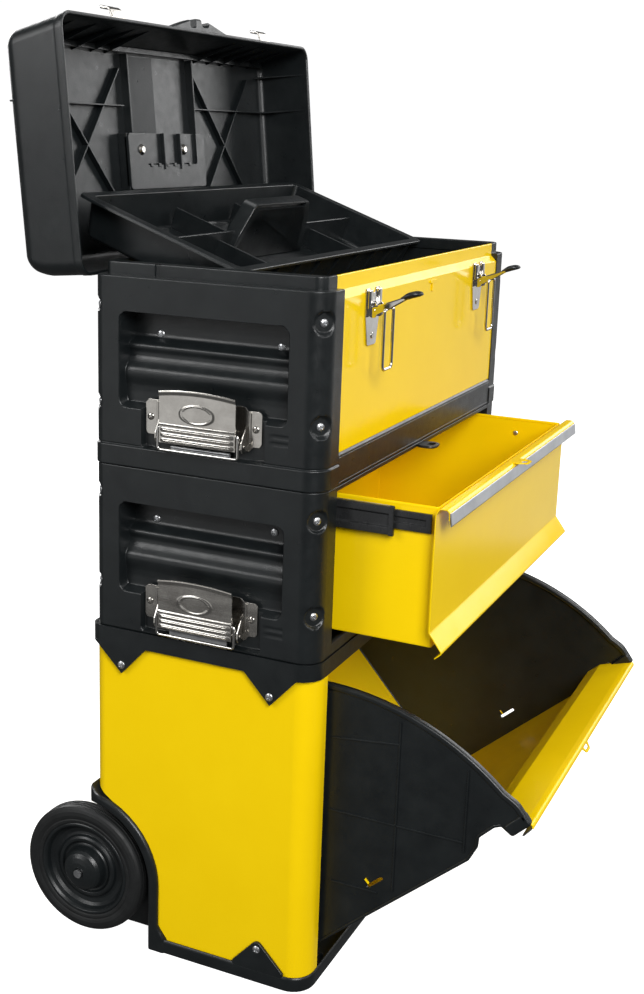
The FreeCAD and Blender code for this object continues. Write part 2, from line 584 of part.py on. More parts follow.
# -------------------------------------------------------------- front latches
def front_latch(x):
    """Plate with two ears and a pin, forward-standing lever, hanging wire loop."""
    py, pz = FRONT_PIN
    by, bz = FRONT_BAIL
    face = -106.0 - 0.1
    plate = prism([(x - 15, 615), (x - 15, 590), (x - 9, 567), (x + 9, 567), (x + 15, 590), (x + 15, 615)],
                  "y", face - 1.4, face)
    ears = [block(e, e + 1.4, -113.9, face - 1.2, 592, 603) for e in (x - 7.4, x + 6.0)]
    pin = rod((x - 9.2, py, pz), (x + 9.2, py, pz), 1.5)
    heads = [screw((x, face - 1.4, z), (0, -1, 0), 2.2) for z in (610.0, 574.0)]
    plate = union([plate, *ears, pin, *heads])

    cheeks = []
    for c in (x - 9.0, x + 7.8):
        cheeks.append(prism([(-109.8, 595), (-109.8, 599.4), (-126, 602), (-140, 604), (-140, 601.4),
                             (-126, 594.5), (-114, 594.5)], "x", c, c + 1.2))
    web = prism([(-118.0, 600.6), (-140, 604.0), (-140, 602.6), (-118, 599.2)], "x", x - 8.9, x + 8.9)
    tip = prism([(-139, 605.2), (-147, 609.5), (-151, 608.5), (-151, 605.5), (-147, 605.5), (-139, 600.9)],
                "x", x - 8.0, x + 8.0)
    lever = union([*cheeks, web, tip])
    lever = lever.cut(rod((x - 20, py, pz), (x + 20, py, pz), 1.56))
    lever = lever.cut(rod((x - 20, by, bz), (x + 20, by, bz), 1.2 + 0.06))
    half = 10.5
    low = bz - FRONT_BAIL_LEN
    bail = wire_frame([(x - half + 3.4, by, bz), (x - half, by, bz), (x - half, by, low),
                       (x + half, by, low), (x + half, by, bz), (x + half - 3.4, by, bz)], 1.2)
    return plate, lever, bail


def front_latch_nodes():
    plates = []
    for side, x in zip(("left", "right"), FRONT_LATCH_X):
        plate, lever, bail = front_latch(x)
        plates.append(plate)
        save("front_lever_" + side, lever)
        save("front_bail_" + side, bail)
    save("front_latch_plates", *plates)


# ------------------------------------------------------------------------ lid
def lid_ribs():
    """Stiffening ribs under the roof: two crosses, two cross bars and the channel walls."""
    roof = LID_TOP - LID_WALL
    ribs = []
    for s in (-1, 1):
        for slope in (-1, 1):
            x0, x1 = s * 132 - 60, s * 132 + 60
            y0, y1 = -4 - slope * 68, -4 + slope * 68
            ribs.append(prism([(x0, y0 - 1.2), (x0, y0 + 1.2), (x1, y1 + 1.2), (x1, y1 - 1.2)],
                              "z", roof - 4, roof))
        ribs.append(block(s * 62, s * 236, -41, -39, roof - 6, roof))
        ribs.append(block(s * 62 - 1, s * 62 + 1, -88, -16, roof - 6, roof))
    return union(ribs)


def lid_shell():
    """Deep lid with a drafted front, a lock hood, hinge barrels and handle posts."""
    low, high, t = LID_LOW, LID_TOP, LID_WALL
    outer = prism([(-107, low), (-96, high), (101, high), (107, high - 22), (107, low)], "x",
                  -HALF_W, HALF_W)
    long_edges = [e for e in outer.Edges if e.BoundBox.XLength > 400 and e.BoundBox.ZMin > low + 1]
    end_edges = [e for e in outer.Edges if e.BoundBox.XLength < 1 and e.BoundBox.ZMin > high - 1]
    outer = outer.makeFillet(5.0, long_edges + end_edges)
    inner = prism([(-107 + t, low - 1), (-96 + t, high - t), (101 - t, high - t),
                   (107 - t, high - 22), (107 - t, low - 1)], "x", -HALF_W + t, HALF_W - t)
    shell = outer.cut(inner)
    hood = block(-64, 54, -118, -104.2, low, low + 30)
    hood = hood.cut(block(-56, 46, -114, -99, low - 1, low + 24))
    shell = shell.cut(block(-56, 46, -110, -100, low - 1, low + 24)).fuse(hood).removeSplitter()
    barrels = []
    for x0, x1 in ((-190.0, -150.0), (-118.0, 118.0), (150.0, 190.0)):
        web = block(x0, x1, 105.0, 109.5, HINGE[1], low + 12)
        barrel = rod((x0, *HINGE), (x1, *HINGE), BARREL_R)
        barrels.append(web.fuse(barrel))
    for x in (-80.0, 80.0):
        post = block(x - 9, x + 9, -9, 9, LID_TOP - 1, LID_TOP + 13)
        barrels.append(post.cut(rod((x - 20, 0, LID_GRIP_Z), (x + 20, 0, LID_GRIP_Z), 3.08)))
    shell = union([shell, *barrels])
    return shell.cut(rod((-210, *HINGE), (210, *HINGE), HINGE_R + 0.08))


def lid_nodes():
    shell = lid_shell()
    save("lid_shell", swung(shell, HINGE, -LID_OPEN))
    save("lid_ribs", swung(lid_ribs(), HINGE, -LID_OPEN))

    roof = LID_TOP - LID_WALL
    plate = block(-73, 75, -5, 38, roof - 9.5, roof - 7.9)
    feet = [block(x, x + 14, -5, 38, roof - 8.1, roof) for x in (-73.0, 61.0)]
    rivets = [rod((x, 4, roof - 11), (x, 4, roof - 9.5), 3.2) for x in (-50.0, 28.0)]
    save("lid_bracket", swung(union([plate, *feet]), HINGE, -LID_OPEN))

    fittings = rivets
    for x in FRONT_LATCH_X:
        foot = prism([(-106.6, 622.0), (-104.1, 634.0), (-105.7, 634.0), (-108.2, 622.0)], "x",
                     x - 11, x + 11)
        hook = prism([(-107.9, 622.0), (-107.9, 624.0), (-115.5, 626.0), (-117.0, 635.0),
                      (-118.6, 635.0), (-117.3, 624.4)], "x", x - 8, x + 8)
        fittings.append(foot.fuse(hook).removeSplitter().cut(shell))
    save("lid_fittings", *[swung(f, HINGE, -LID_OPEN) for f in fittings])

    # carrying handle, folded towards the hinge
    grip_z = LID_GRIP_Z
    arms = []
    for x in (-64.0, 64.0):
        arms.append(block(x - 5, x + 5, -5, 46, grip_z - 5, grip_z + 5))
    arms.append(block(-69, 69, 34, 48, grip_z - 6, grip_z + 6))
    pins = [rod((s * 64, 0, grip_z), (s * 86, 0, grip_z), 3.0) for s in (-1, 1)]
    save("lid_handle", swung(union(arms + pins), HINGE, -LID_OPEN))


# ----------------------------------------------------------------------- tray
def tray_nodes():
    """Tote tray drawn level, front rim edge at the origin, then leaned back."""
    length, depth, t = TRAY_LENGTH, TRAY_DEPTH, TRAY_WALL
    rim = block(-TRAY_RIM_X, TRAY_RIM_X, 0, length, -2.5, 0)
    outer = prism([(5, 0), (11, -depth), (length - 11, -depth), (length - 5, 0)], "x",
                  -TRAY_BODY_X, TRAY_BODY_X)
    inner = prism([(5 + t, 1), (11 + t, -depth + t), (length - 11 - t, -depth + t),
                   (length - 5 - t, 1)], "x", -TRAY_BODY_X + t, TRAY_BODY_X - t)
    tray = rim.fuse(outer).cut(inner)
    mid = length / 2
    wall = block(-TRAY_BODY_X + 1, TRAY_BODY_X - 1, mid - 1.2, mid + 1.2, -depth + 1, -6)
    post = prism([(-95, -8), (-70, 20), (70, 20), (95, -8), (78, -8), (58, 10), (-58, 10), (-78, -8)],
                 "y", mid - 8, mid + 8)
    tray = union([tray, wall, post])
    tray.rotate(V(0, 0, 0), V(1, 0, 0), TRAY_TILT)
    save("tote_tray", tray.translated(V(0, *TRAY_FRONT)))


# ----------------------------------------------------------------------- all
os.makedirs("parts", exist_ok=True)
base_nodes()
wheel_nodes()
handle_nodes()
bin_nodes()
mid_nodes()
drawer_nodes()
top_nodes()
side_latch_nodes()
front_latch_nodes()
lid_nodes()
tray_nodes()
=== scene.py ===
import math

import bmesh
import bpy
import numpy as np
from mathutils import Matrix, Vector


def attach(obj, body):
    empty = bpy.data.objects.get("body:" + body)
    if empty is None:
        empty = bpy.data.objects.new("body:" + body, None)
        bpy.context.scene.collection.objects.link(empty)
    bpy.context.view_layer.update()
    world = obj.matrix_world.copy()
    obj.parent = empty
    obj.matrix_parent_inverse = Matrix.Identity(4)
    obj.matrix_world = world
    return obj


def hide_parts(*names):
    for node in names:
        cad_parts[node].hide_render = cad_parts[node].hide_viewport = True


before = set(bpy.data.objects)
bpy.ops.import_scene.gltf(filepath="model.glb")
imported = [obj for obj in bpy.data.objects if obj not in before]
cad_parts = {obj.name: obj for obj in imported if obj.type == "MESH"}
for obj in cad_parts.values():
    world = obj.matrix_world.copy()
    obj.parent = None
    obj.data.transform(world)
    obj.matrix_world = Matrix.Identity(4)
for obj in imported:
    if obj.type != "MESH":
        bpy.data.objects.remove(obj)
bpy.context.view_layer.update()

# Rolling tool box.  Every length below is in millimetres in the frame's axes: +X to
# the right when facing the front, +Y to the back, +Z up, origin on the ground.
MM = 0.001


# ---- materials
def link(tree, a, out, b, into):
    tree.links.new(a.outputs[out], b.inputs[into])


def noise(tree, coords, scale, detail=2.0, rough=0.5):
    node = tree.nodes.new("ShaderNodeTexNoise")
    node.inputs["Scale"].default_value = scale
    node.inputs["Detail"].default_value = detail
    node.inputs["Roughness"].default_value = rough
    tree.links.new(coords, node.inputs["Vector"])
    return node


def ranged(tree, source, start, stop, low, high):
    """Stretches a factor between start and stop to the range from low to high."""
    node = tree.nodes.new("ShaderNodeMapRange")
    for socket, value in (("From Min", start), ("From Max", stop), ("To Min", low), ("To Max", high)):
        node.inputs[socket].default_value = value
    link(tree, source, "Fac", node, "Value")
    return node


def surface(name, dark, light, rough, grain, depth, metallic=0.0, coat=0.0, mottle=35.0,
            stretch=(1, 1, 1), scuff=0.0, specular=0.5):
    """Procedural finish: mottled colour, uneven gloss, fine grain and light scuffs."""
    mat = bpy.data.materials.new(name)
    mat.use_nodes = True
    tree = mat.node_tree
    shader = tree.nodes["Principled BSDF"]
    shader.inputs["Metallic"].default_value = metallic
    shader.inputs["Specular IOR Level"].default_value = specular
    shader.inputs["Coat Weight"].default_value = coat
    shader.inputs["Coat Roughness"].default_value = 0.06
    place = tree.nodes.new("ShaderNodeTexCoord").outputs["Object"]
    mapping = tree.nodes.new("ShaderNodeMapping")
    mapping.inputs["Scale"].default_value = stretch
    tree.links.new(place, mapping.inputs["Vector"])
    pulled = mapping.outputs["Vector"]

    blotch = noise(tree, place, mottle, 4.0, 0.6)
    ramp = tree.nodes.new("ShaderNodeValToRGB")
    ramp.color_ramp.elements[0].position = 0.3
    ramp.color_ramp.elements[1].position = 0.7
    ramp.color_ramp.elements[0].color = (*dark, 1)
    ramp.color_ramp.elements[1].color = (*light, 1)
    link(tree, blotch, "Fac", ramp, "Fac")
    colour = ramp.outputs["Color"]
    if scuff:
        marks = noise(tree, pulled, mottle * 9, 6.0, 0.75)
        keep = ranged(tree, marks, 0.62, 0.78, 0.0, scuff)
        mix = tree.nodes.new("ShaderNodeMixRGB")
        mix.inputs["Color2"].default_value = (*[min(1.0, c * 2.2 + 0.03) for c in light], 1)
        tree.links.new(colour, mix.inputs["Color1"])
        link(tree, keep, "Result", mix, "Fac")
        colour = mix.outputs["Color"]
    tree.links.new(colour, shader.inputs["Base Color"])

    gloss = noise(tree, pulled, mottle * 3, 5.0, 0.65)
    span = ranged(tree, gloss, 0.3, 0.7, *rough)
    link(tree, span, "Result", shader, "Roughness")

    fine = noise(tree, pulled, grain, 3.0, 0.55)
    bump = tree.nodes.new("ShaderNodeBump")
    bump.inputs["Strength"].default_value = 1.0
    bump.inputs["Distance"].default_value = depth
    link(tree, fine, "Fac", bump, "Height")
    link(tree, bump, "Normal", shader, "Normal")
    return mat


BLACK = surface("moulded_black", (0.0050, 0.0066, 0.0074), (0.0098, 0.0122, 0.0130), (0.27, 0.40),
                1500, 0.00009, scuff=0.04, specular=0.5)
BLACK_MATT = surface("moulded_black_matt", (0.0045, 0.0056, 0.0060), (0.0088, 0.0108, 0.0112), (0.36, 0.5),
                     1200, 0.00010, scuff=0.04, specular=0.4)
YELLOW = surface("yellow_enamel", (0.95, 0.64, 0.002), (0.98, 0.67, 0.003), (0.12, 0.19),
                 420, 0.00002, mottle=14, specular=0.17)
RUBBER = surface("tyre_rubber", (0.0065, 0.0070, 0.0072), (0.0125, 0.0135, 0.0138), (0.44, 0.62),
                 1100, 0.00014, scuff=0.08, mottle=50, specular=0.4)
ALUMINIUM = surface("brushed_aluminium", (0.60, 0.62, 0.65), (0.74, 0.76, 0.79), (0.26, 0.4),
                    900, 0.00002, metallic=1.0, stretch=(0.04, 1, 1))
NICKEL = surface("brushed_nickel", (0.44, 0.42, 0.39), (0.62, 0.60, 0.56), (0.16, 0.28),
                 1400, 0.00002, metallic=1.0, stretch=(1, 0.06, 1))
CHROME = surface("bright_chrome", (0.55, 0.53, 0.50), (0.76, 0.75, 0.73), (0.06, 0.14),
                 300, 0.00001, metallic=1.0)
ZINC = surface("zinc_plate", (0.50, 0.51, 0.53), (0.70, 0.71, 0.72), (0.26, 0.44),
               800, 0.00003, metallic=1.0, mottle=90)
RAIL = surface("black_rail_steel", (0.011, 0.0115, 0.012), (0.024, 0.025, 0.026), (0.2, 0.34),
               700, 0.00003, specular=0.45)

# material slot of the part that each finish is shown on
SLOTS = {BLACK: "black_plastic", BLACK_MATT: "black_plastic", YELLOW: "yellow_steel", ZINC: "zinc_steel",
         NICKEL: "chrome_steel", CHROME: "chrome_steel", RAIL: "rail_steel",
         ALUMINIUM: "aluminium_strip", RUBBER: "tyre_rubber"}


# ---- plane outlines
def fillet(points, radius, steps=5, closed=True, even=False):
    """Polygon, or open line, with its corners rounded; one radius or one per corner.
    With even set, a corner too flat to round still gives as many points as a round one."""
    pts = [np.array(p, float) for p in points]
    radii = list(radius) if hasattr(radius, "__len__") else [radius] * len(pts)
    out = []
    for i, p in enumerate(pts):
        a, b = pts[i - 1] - p, pts[(i + 1) % len(pts)] - p
        la, lb = np.linalg.norm(a), np.linalg.norm(b)
        a, b = a / la, b / lb
        half = math.acos(max(-1.0, min(1.0, float(a @ b)))) / 2
        end = not closed and i in (0, len(pts) - 1)
        if end or radii[i] <= 0 or not 0.02 < half < 1.55:
            out += [p] * (steps + 1 if even and radii[i] > 0 else 1)
            continue
        t = min(radii[i] / math.tan(half), 0.49 * la, 0.49 * lb)
        centre = p + (a + b) / np.linalg.norm(a + b) * t / math.cos(half)
        start, stop = p + a * t - centre, p + b * t - centre
        sweep = math.pi - 2 * half
        for k in range(steps + 1):
            f = k / steps
            blend = math.sin((1 - f) * sweep) * start + math.sin(f * sweep) * stop
            out.append(centre + blend / math.sin(sweep))
    return np.array(out)


def arc(cx, cy, radius, start, end, steps=16):
    angles = np.radians(np.linspace(start, end, steps + 1))
    return [(cx + radius * math.cos(a), cy + radius * math.sin(a)) for a in angles]


def rectangle(x0, x1, y0, y1):
    return [(x0, y0), (x1, y0), (x1, y1), (x0, y1)]


def inset(loop, d):
    """Closed loop in a plane moved inward by d."""
    loop = np.asarray(loop, float)
    before, after = loop - np.roll(loop, 1, 0), np.roll(loop, -1, 0) - loop
    total = 0
    for edge in (before, after):
        length = np.maximum(np.linalg.norm(edge, axis=1, keepdims=True), 1e-9)
        total = total + np.stack([-edge[:, 1], edge[:, 0]], 1) / length
    total = total / np.maximum((total * total).sum(1, keepdims=True) / 2, 0.35)
    area = (loop[:, 0] * np.roll(loop[:, 1], -1) - np.roll(loop[:, 0], -1) * loop[:, 1]).sum()
    return loop + total * d * (1 if area > 0 else -1)


def ribbon(line, t):
    """Outline of a bent sheet: the line is one face, and the sheet is t thick to its left."""
    line = np.asarray(line, float)
    step = np.diff(line, axis=0)
    step = step / np.maximum(np.linalg.norm(step, axis=1, keepdims=True), 1e-9)
    left = np.stack([-step[:, 1], step[:, 0]], 1)
    total = np.vstack([left[:1], left[:-1] + left[1:], left[-1:]])
    total[0] *= 2
    total[-1] *= 2
    total = total * 2 / np.maximum((total * total).sum(1, keepdims=True), 0.8)
    return np.vstack([line, (line + total * t)[::-1]])


# ---- solid forms
def raise_to(axis, at, loop):
    """A plane loop as 3-D points at one place along an axis."""
    loop = np.asarray(loop, float)
    fill = np.full(len(loop), float(at))
    order = {"x": (fill, loop[:, 0], loop[:, 1]), "y": (loop[:, 0], fill, loop[:, 1]),
             "z": (loop[:, 0], loop[:, 1], fill)}[axis]
    return np.stack(order, 1)


def loft(rows, caps=True, around=True, closed=False):
    """Skin through rows of points; around joins each row's ends, closed joins last to first."""
    n, m = len(rows), len(rows[0])
    assert all(len(row) == m for row in rows), "rows of a loft differ in length"
    verts = np.vstack(rows)
    faces = []
    for i in range(n if closed else n - 1):
        a, b = i * m, (i + 1) % n * m
        for j in range(m if around else m - 1):
            k = (j + 1) % m
            faces.append((a + j, a + k, b + k, b + j))
    if caps and not closed and around:
        faces.append(tuple(range(m))[::-1])
        faces.append(tuple((n - 1) * m + j for j in range(m)))
    return verts, faces


def plate(outline, axis, a, b, edge=0.3, steps=2):
    """Outline pushed along an axis from a to b, with both rims rounded over by edge."""
    a, b = min(a, b), max(a, b)
    edge = min(edge, (b - a) * 0.48)
    loop = np.asarray(outline, float)
    turns = [math.radians(90 * k / steps) for k in range(steps + 1)]
    rows = [(a + edge * (1 - math.cos(t)), edge * (1 - math.sin(t))) for t in turns]
    rows += [(a + b - at, d) for at, d in rows[::-1]]
    return loft([raise_to(axis, at, inset(loop, d)) for at, d in rows])


def slab(x0, x1, y0, y1, z0, z1, edge=0.5, axis="z", corner=None):
    """Box with every edge rounded; corner is the larger radius of the edges along axis."""
    spans = {"x": (y0, y1, z0, z1, x0, x1), "y": (x0, x1, z0, z1, y0, y1), "z": (x0, x1, y0, y1, z0, z1)}
    p0, p1, q0, q1, a, b = spans[axis]
    loop = fillet(rectangle(min(p0, p1), max(p0, p1), min(q0, q1), max(q0, q1)), corner or edge * 1.2, 4)
    return plate(loop, axis, a, b, edge)


def beam(half, y0, y1, z0, z1, edge):
    """Bar lying across the box, reaching half to each side."""
    return slab(-half, half, y0, y1, z0, z1, edge, "x")


def folded(line, t, half, radius=1.6, edge=0.18):
    """Sheet metal bent along a line in y and z, and reaching half to each side."""
    return plate(ribbon(fillet(line, radius, 5, closed=False), t), "x", -half, half, edge)


def tube(path, radius, sides=12, caps=True):
    """Round wire along a smooth line of points."""
    path = np.asarray(path, float)
    along = np.gradient(path, axis=0)
    along /= np.linalg.norm(along, axis=1, keepdims=True)
    u = np.cross(along[0], (0.31, 0.52, 0.79))
    rows = []
    for p, t in zip(path, along):
        u = u - t * (u @ t)
        u /= np.linalg.norm(u)
        v = np.cross(t, u)
        rows.append([p + radius * (u * math.cos(a) + v * math.sin(a))
                     for a in np.linspace(0, 2 * math.pi, sides, endpoint=False)])
    if caps:
        rows = [[p * 0.55 + c * 0.45 - t * radius * 0.35 for p in r] if e else r
                for e, c, t, r in [(1, path[0], along[0], rows[0])]] + rows
        rows.append([p * 0.55 + path[-1] * 0.45 + along[-1] * radius * 0.35 for p in rows[-1]])
    return loft([np.array(r) for r in rows])


def pin_along(x0, x1, y, z, radius, sides, places=6):
    return tube([(x, y, z) for x in np.linspace(x0, x1, places)], radius, sides)


def wire(points, radius, bend=3.0, sides=12):
    return tube(fillet(points, bend, 6, closed=False), radius, sides)


def turned(profile, y, z, steps=96, close=True):
    """Profile of (x, radius) points turned about a line along X through (y, z)."""
    profile = np.asarray(profile, float)
    rows = []
    for a in np.linspace(0, 2 * math.pi, steps, endpoint=False):
        rows.append(np.stack([profile[:, 0], y + profile[:, 1] * math.cos(a),
                              z + profile[:, 1] * math.sin(a)], 1))
    return loft(rows, caps=False, around=close, closed=True)


def screw(at, out, radius=3.3, height=1.7, cross=True):
    """Pan head screw with a cross recess, standing on a face."""
    rings, spokes = 12, 48
    verts, faces = [], []
    n = Vector(out).normalized()
    u = n.orthogonal().normalized()
    v = n.cross(u)
    base = Vector(at)
    for i in range(rings + 1):
        r = radius * min(1.0, i / (rings - 1))
        for k in range(spokes):
            a = 2 * math.pi * k / spokes
            x, y = r * math.cos(a), r * math.sin(a)
            h = height * math.sqrt(max(0.0, 1 - (r / radius) ** 2 * 0.86)) if i < rings else -0.3
            arm = radius * 0.13
            if cross and r < radius * 0.62 and (abs(x) < arm or abs(y) < arm):
                h -= height * 0.42
            verts.append(base + u * x + v * y + n * h)
    for i in range(rings):
        for k in range(spokes):
            j = (k + 1) % spokes
            a, b = i * spokes, (i + 1) * spokes
            faces.append((a + k, b + k, b + j, a + j) if i else (b + k, b + j, a))
    return np.array([tuple(p) for p in verts]), faces


def rivet(at, out, radius=2.4, height=1.2):
    return screw(at, out, radius, height, cross=False)


def join(*shapes):
    verts, faces, n = [], [], 0
    for v, f in shapes:
        verts.append(np.asarray(v, float))
        faces += [tuple(i + n for i in q) for q in f]
        n += len(v)
    return np.vstack(verts), faces


def mirrored(shape):
    return np.asarray(shape[0], float) * (-1, 1, 1), [tuple(reversed(f)) for f in shape[1]]


def moved(shape, dx=0.0, dy=0.0, dz=0.0):
    return np.asarray(shape[0], float) + (dx, dy, dz), shape[1]


def swung(shape, pivot, angle):
    """Turned about an X axis through (y, z); a positive angle tips the top forward."""
    c, s = math.cos(math.radians(angle)), math.sin(math.radians(angle))
    v = np.array(shape[0], float)
    y, z = v[:, 1] - pivot[0], v[:, 2] - pivot[1]
    v[:, 1], v[:, 2] = pivot[0] + c * y - s * z, pivot[1] + s * y + c * z
    return v, shape[1]


def to_mesh(name, shape):
    mesh = bpy.data.meshes.new(name)
    mesh.from_pydata((np.asarray(shape[0], float) * MM).tolist(), [],
                     [tuple(map(int, f)) for f in shape[1]])
    bm = bmesh.new()
    bm.from_mesh(mesh)
    bmesh.ops.remove_doubles(bm, verts=bm.verts, dist=1e-6)
    bmesh.ops.recalc_face_normals(bm, faces=bm.faces)
    bm.to_mesh(mesh)
    bm.free()
    return mesh


def cut(shape, *tools):
    """Shape with the volumes of the tools taken away."""
    base = bpy.data.objects.new("cut_base", to_mesh("cut_base", shape))
    made = [base]
    bpy.context.scene.collection.objects.link(base)
    for tool in tools:
        other = bpy.data.objects.new("cut_tool", to_mesh("cut_tool", tool))
        bpy.context.scene.collection.objects.link(other)
        made.append(other)
        step = base.modifiers.new("cut", "BOOLEAN")
        step.operation, step.solver, step.object = "DIFFERENCE", "EXACT", other
    result = base.evaluated_get(bpy.context.evaluated_depsgraph_get()).to_mesh()
    verts = np.array([tuple(v.co) for v in result.vertices]) / MM
    faces = [tuple(p.vertices) for p in result.polygons]
    for o in made:
        bpy.data.objects.remove(o)
    return verts, faces


# ---- adding a piece
def piece(name, shape, body, material, *nodes, crease=38):
    """Adds a mesh that rides on a body and stands for CAD nodes."""
    mesh = to_mesh(name, shape)
    mesh.shade_smooth()
    mesh.set_sharp_from_angle(angle=math.radians(crease))
    mesh.materials.append(material)
    obj = bpy.data.objects.new(name, mesh)
    bpy.context.scene.collection.objects.link(obj)
    even = obj.modifiers.new("even_normals", "WEIGHTED_NORMAL")
    even.keep_sharp = True
    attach(obj, body)
    if nodes:
        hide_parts(*nodes)
    return obj


def pair(name, shape, body, material, *nodes, **kw):
    """A left piece and its mirror image; "{side}" in a body or node name is filled in."""
    for side, form in (("left", shape), ("right", mirrored(shape))):
        names = [n.format(side=side) for n in nodes]
        if not any("{side}" in n for n in nodes) and side == "right":
            names = []
        piece(f"{name}_{side}", form, body.format(side=side), material, *names, **kw)


def keep(node, material, bevel=0.4, slot=None):
    """A CAD node shown as it is, with softened edges and a finish."""
    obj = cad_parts[node]
    obj.data.materials.clear()
    obj.data.materials.append(material)
    slot = slot or SLOTS[material]
    obj.modifiers.new("weld", "WELD").merge_threshold = 1e-6
    if bevel:
        soft = obj.modifiers.new("soft_edges", "BEVEL")
        soft.width, soft.segments, soft.limit_method = bevel * MM, 2, "ANGLE"
        soft.angle_limit = math.radians(35)
        soft.use_clamp_overlap = True
    obj.data.shade_smooth()
    even = obj.modifiers.new("even_normals", "WEIGHTED_NORMAL")
    even.keep_sharp = True
    return obj


# ---- moulded unit ends
def rise(v, a, b):
    """Smooth step from 0 at a to 1 at b."""
    t = np.clip((v - a) / (b - a), 0, 1)
    return t * t * (3 - 2 * t)


def pocket(s, z, s0, s1, z0, z1, corner, wall):
    """1 inside a rounded window, 0 outside, with a sloping wall inside its edge."""
    cx, cz, hx, hz = (s0 + s1) / 2, (z0 + z1) / 2, (s1 - s0) / 2, (z1 - z0) / 2
    qx, qz = np.abs(s - cx) - hx + corner, np.abs(z - cz) - hz + corner
    d = np.hypot(np.maximum(qx, 0), np.maximum(qz, 0)) + np.minimum(np.maximum(qx, qz), 0) - corner
    return rise(-d, 0, wall)


def stations(*runs):
    """Places along a line: (start, end, step) runs joined end to end."""
    out = []
    for a, b, step in runs:
        out.append(np.linspace(a, b, max(2, int(round(abs(b - a) / step)) + 1))[:-1])
    return np.append(np.concatenate(out), runs[-1][1])


SWELLS = ([33, 46, 52, 58, 62, 66, 71, 75, 79, 83, 86, 88, 90, 92.5, 100, 114],
          [9.8, 9.8, 9.2, 7.4, 6.8, 7.6, 12.0, 14.2, 14.4, 12.8, 13.4, 17.5, 22.0, 23.6, 24.0, 24.0])

# corner screws: middle of the rounded corner, seat plane distance from it, seat radius,
# and the way the screw faces
SEAT_TURN = math.radians(51)
CORNERS = [((-220.8, -89.0), 14.6, 9.6, (-math.cos(SEAT_TURN), -math.sin(SEAT_TURN))),
           ((-228.8, 97.0), 7.6, 6.6, (-math.cos(SEAT_TURN), math.sin(SEAT_TURN)))]


def moulded_end(low, high, bay_low, seats, skirt_top=None, rim_low=None):
    """Left end of a unit: hand recess with two swells, latch bay, screw seats, skirt."""
    side_x, front_y, rear_y, inner = -238.8, -107.0, 107.0, -206.0
    s = stations((97, 86, 1.8), (86, 78, 0.55), (78, 62, 2.6), (62, 57.5, 0.5), (57.5, -53.5, 4.0),
                 (-53.5, -58, 0.5), (-58, -71, 2.2), (-71, -77, 0.55), (-77, -89, 1.3))
    plan = [(inner, rear_y, 0, 1, 120.0), (-217.0, rear_y, 0, 1, 116.0)]
    for a in np.radians(np.linspace(0, 90, 14)):
        plan.append((-228.8 - 10 * math.sin(a), 97 + 10 * math.cos(a), -math.sin(a), math.cos(a),
                     97 + 10 * (math.pi / 2 - a)))
    plan += [(side_x, v, -1, 0, v) for v in s[1:-1]]
    for a in np.radians(np.linspace(0, 90, 24)):
        plan.append((-220.8 - 18 * math.cos(a), -89 - 18 * math.sin(a), -math.cos(a),
                     -math.sin(a), -89 - 18 * a))
    plan += [(-213.0, front_y, 0, -1, -125.0), (inner, front_y, 0, -1, -132.0)]
    x, y, nx, ny, s = np.array(plan).T

    levels = [low + d for d in (0, 0.25, 0.6, 1.0, 1.8, 3.0)]
    marks = [bay_low, bay_low + 33, bay_low + 114]
    z = low + 3.0
    while z < high - 3.0:
        near = min(abs(z - m - o) for m in marks for o in (0.0, 2.0, -1.0))
        z += 0.55 if near < 2.2 else 1.5
        levels.append(z)
    levels = [v for v in levels if v < high - 2.6] + [high - d for d in (1.8, 1.0, 0.6, 0.25, 0)]
    if rim_low:
        levels = sorted(set([v for v in levels if abs(v - rim_low) > 0.3] + [rim_low, rim_low + 0.01]))
    z = np.array(levels)[:, None]

    h = z - bay_low
    recess = np.interp(h, *SWELLS) * pocket(s, z, -75, 82, bay_low + 32, bay_low + 114, 9, 2.4)
    recess = recess * rise(h, 32.0, 37.5)
    bay = 5.8 * pocket(s, z, -56, 60, bay_low - 0.2, bay_low + 44, 4, 1.3)
    bay = bay * (1 - rise(h, 33, 39) * rise(s, 40, 52))
    depth = np.maximum(recess, bay)
    for mark in (24.0, 18.5):
        depth = depth + 0.7 * pocket(s, z, -77, -60, bay_low + mark - 1.3, bay_low + mark + 1.3, 1.2, 0.9)
    edge = np.minimum(z - low, high - z)
    depth = depth + np.where(edge < 1.0, 1.0 - np.sqrt(np.maximum(0, 1 - (1 - edge) ** 2)), 0)
    if skirt_top:
        depth = depth - 1.1 * rise(-z, -skirt_top - 0.2, -skirt_top + 0.7)
        depth = depth + 0.45 * (1 - rise(np.abs(z - skirt_top - 0.6), 0.2, 0.9))

    px, py = x - nx * depth, y - ny * depth
    for zc in seats:
        for (cx, cy), reach, radius, (fx, fy) in CORNERS:
            out = (px - cx) * fx + (py - cy) * fy
            r = np.hypot((py - cy) * fx - (px - cx) * fy, z - zc)
            sunk = rise(-r, -radius, 1.4 - radius) * np.maximum(0, out - reach + 0.06 * (z - zc))
            px, py = px - fx * sunk, py - fy * sunk
    inner_x = np.where(z > rim_low, -218.0, inner) if rim_low else np.full_like(z, inner)
    rows = []
    for i in range(len(z)):
        loop = np.stack([px[i], py[i], np.full(len(x), z[i, 0])], 1)
        back = [(inner, -97), (inner_x[i, 0], -97), (inner_x[i, 0], 97), (inner, 97)]
        rows.append(np.vstack([loop, [(bx, by, z[i, 0]) for bx, by in back]]))
    return loft(rows)


def end_screws(seats, recess_screws):
    heads = [screw((cx + fx * reach, cy + fy * reach, z), (fx, fy, 0), 3.4)
             for (cx, cy), reach, _, (fx, fy) in CORNERS for z in seats]
    heads += [screw((-214.9, y, z), (-1, 0, 0), 3.5) for y, z in recess_screws]
    return join(*heads)


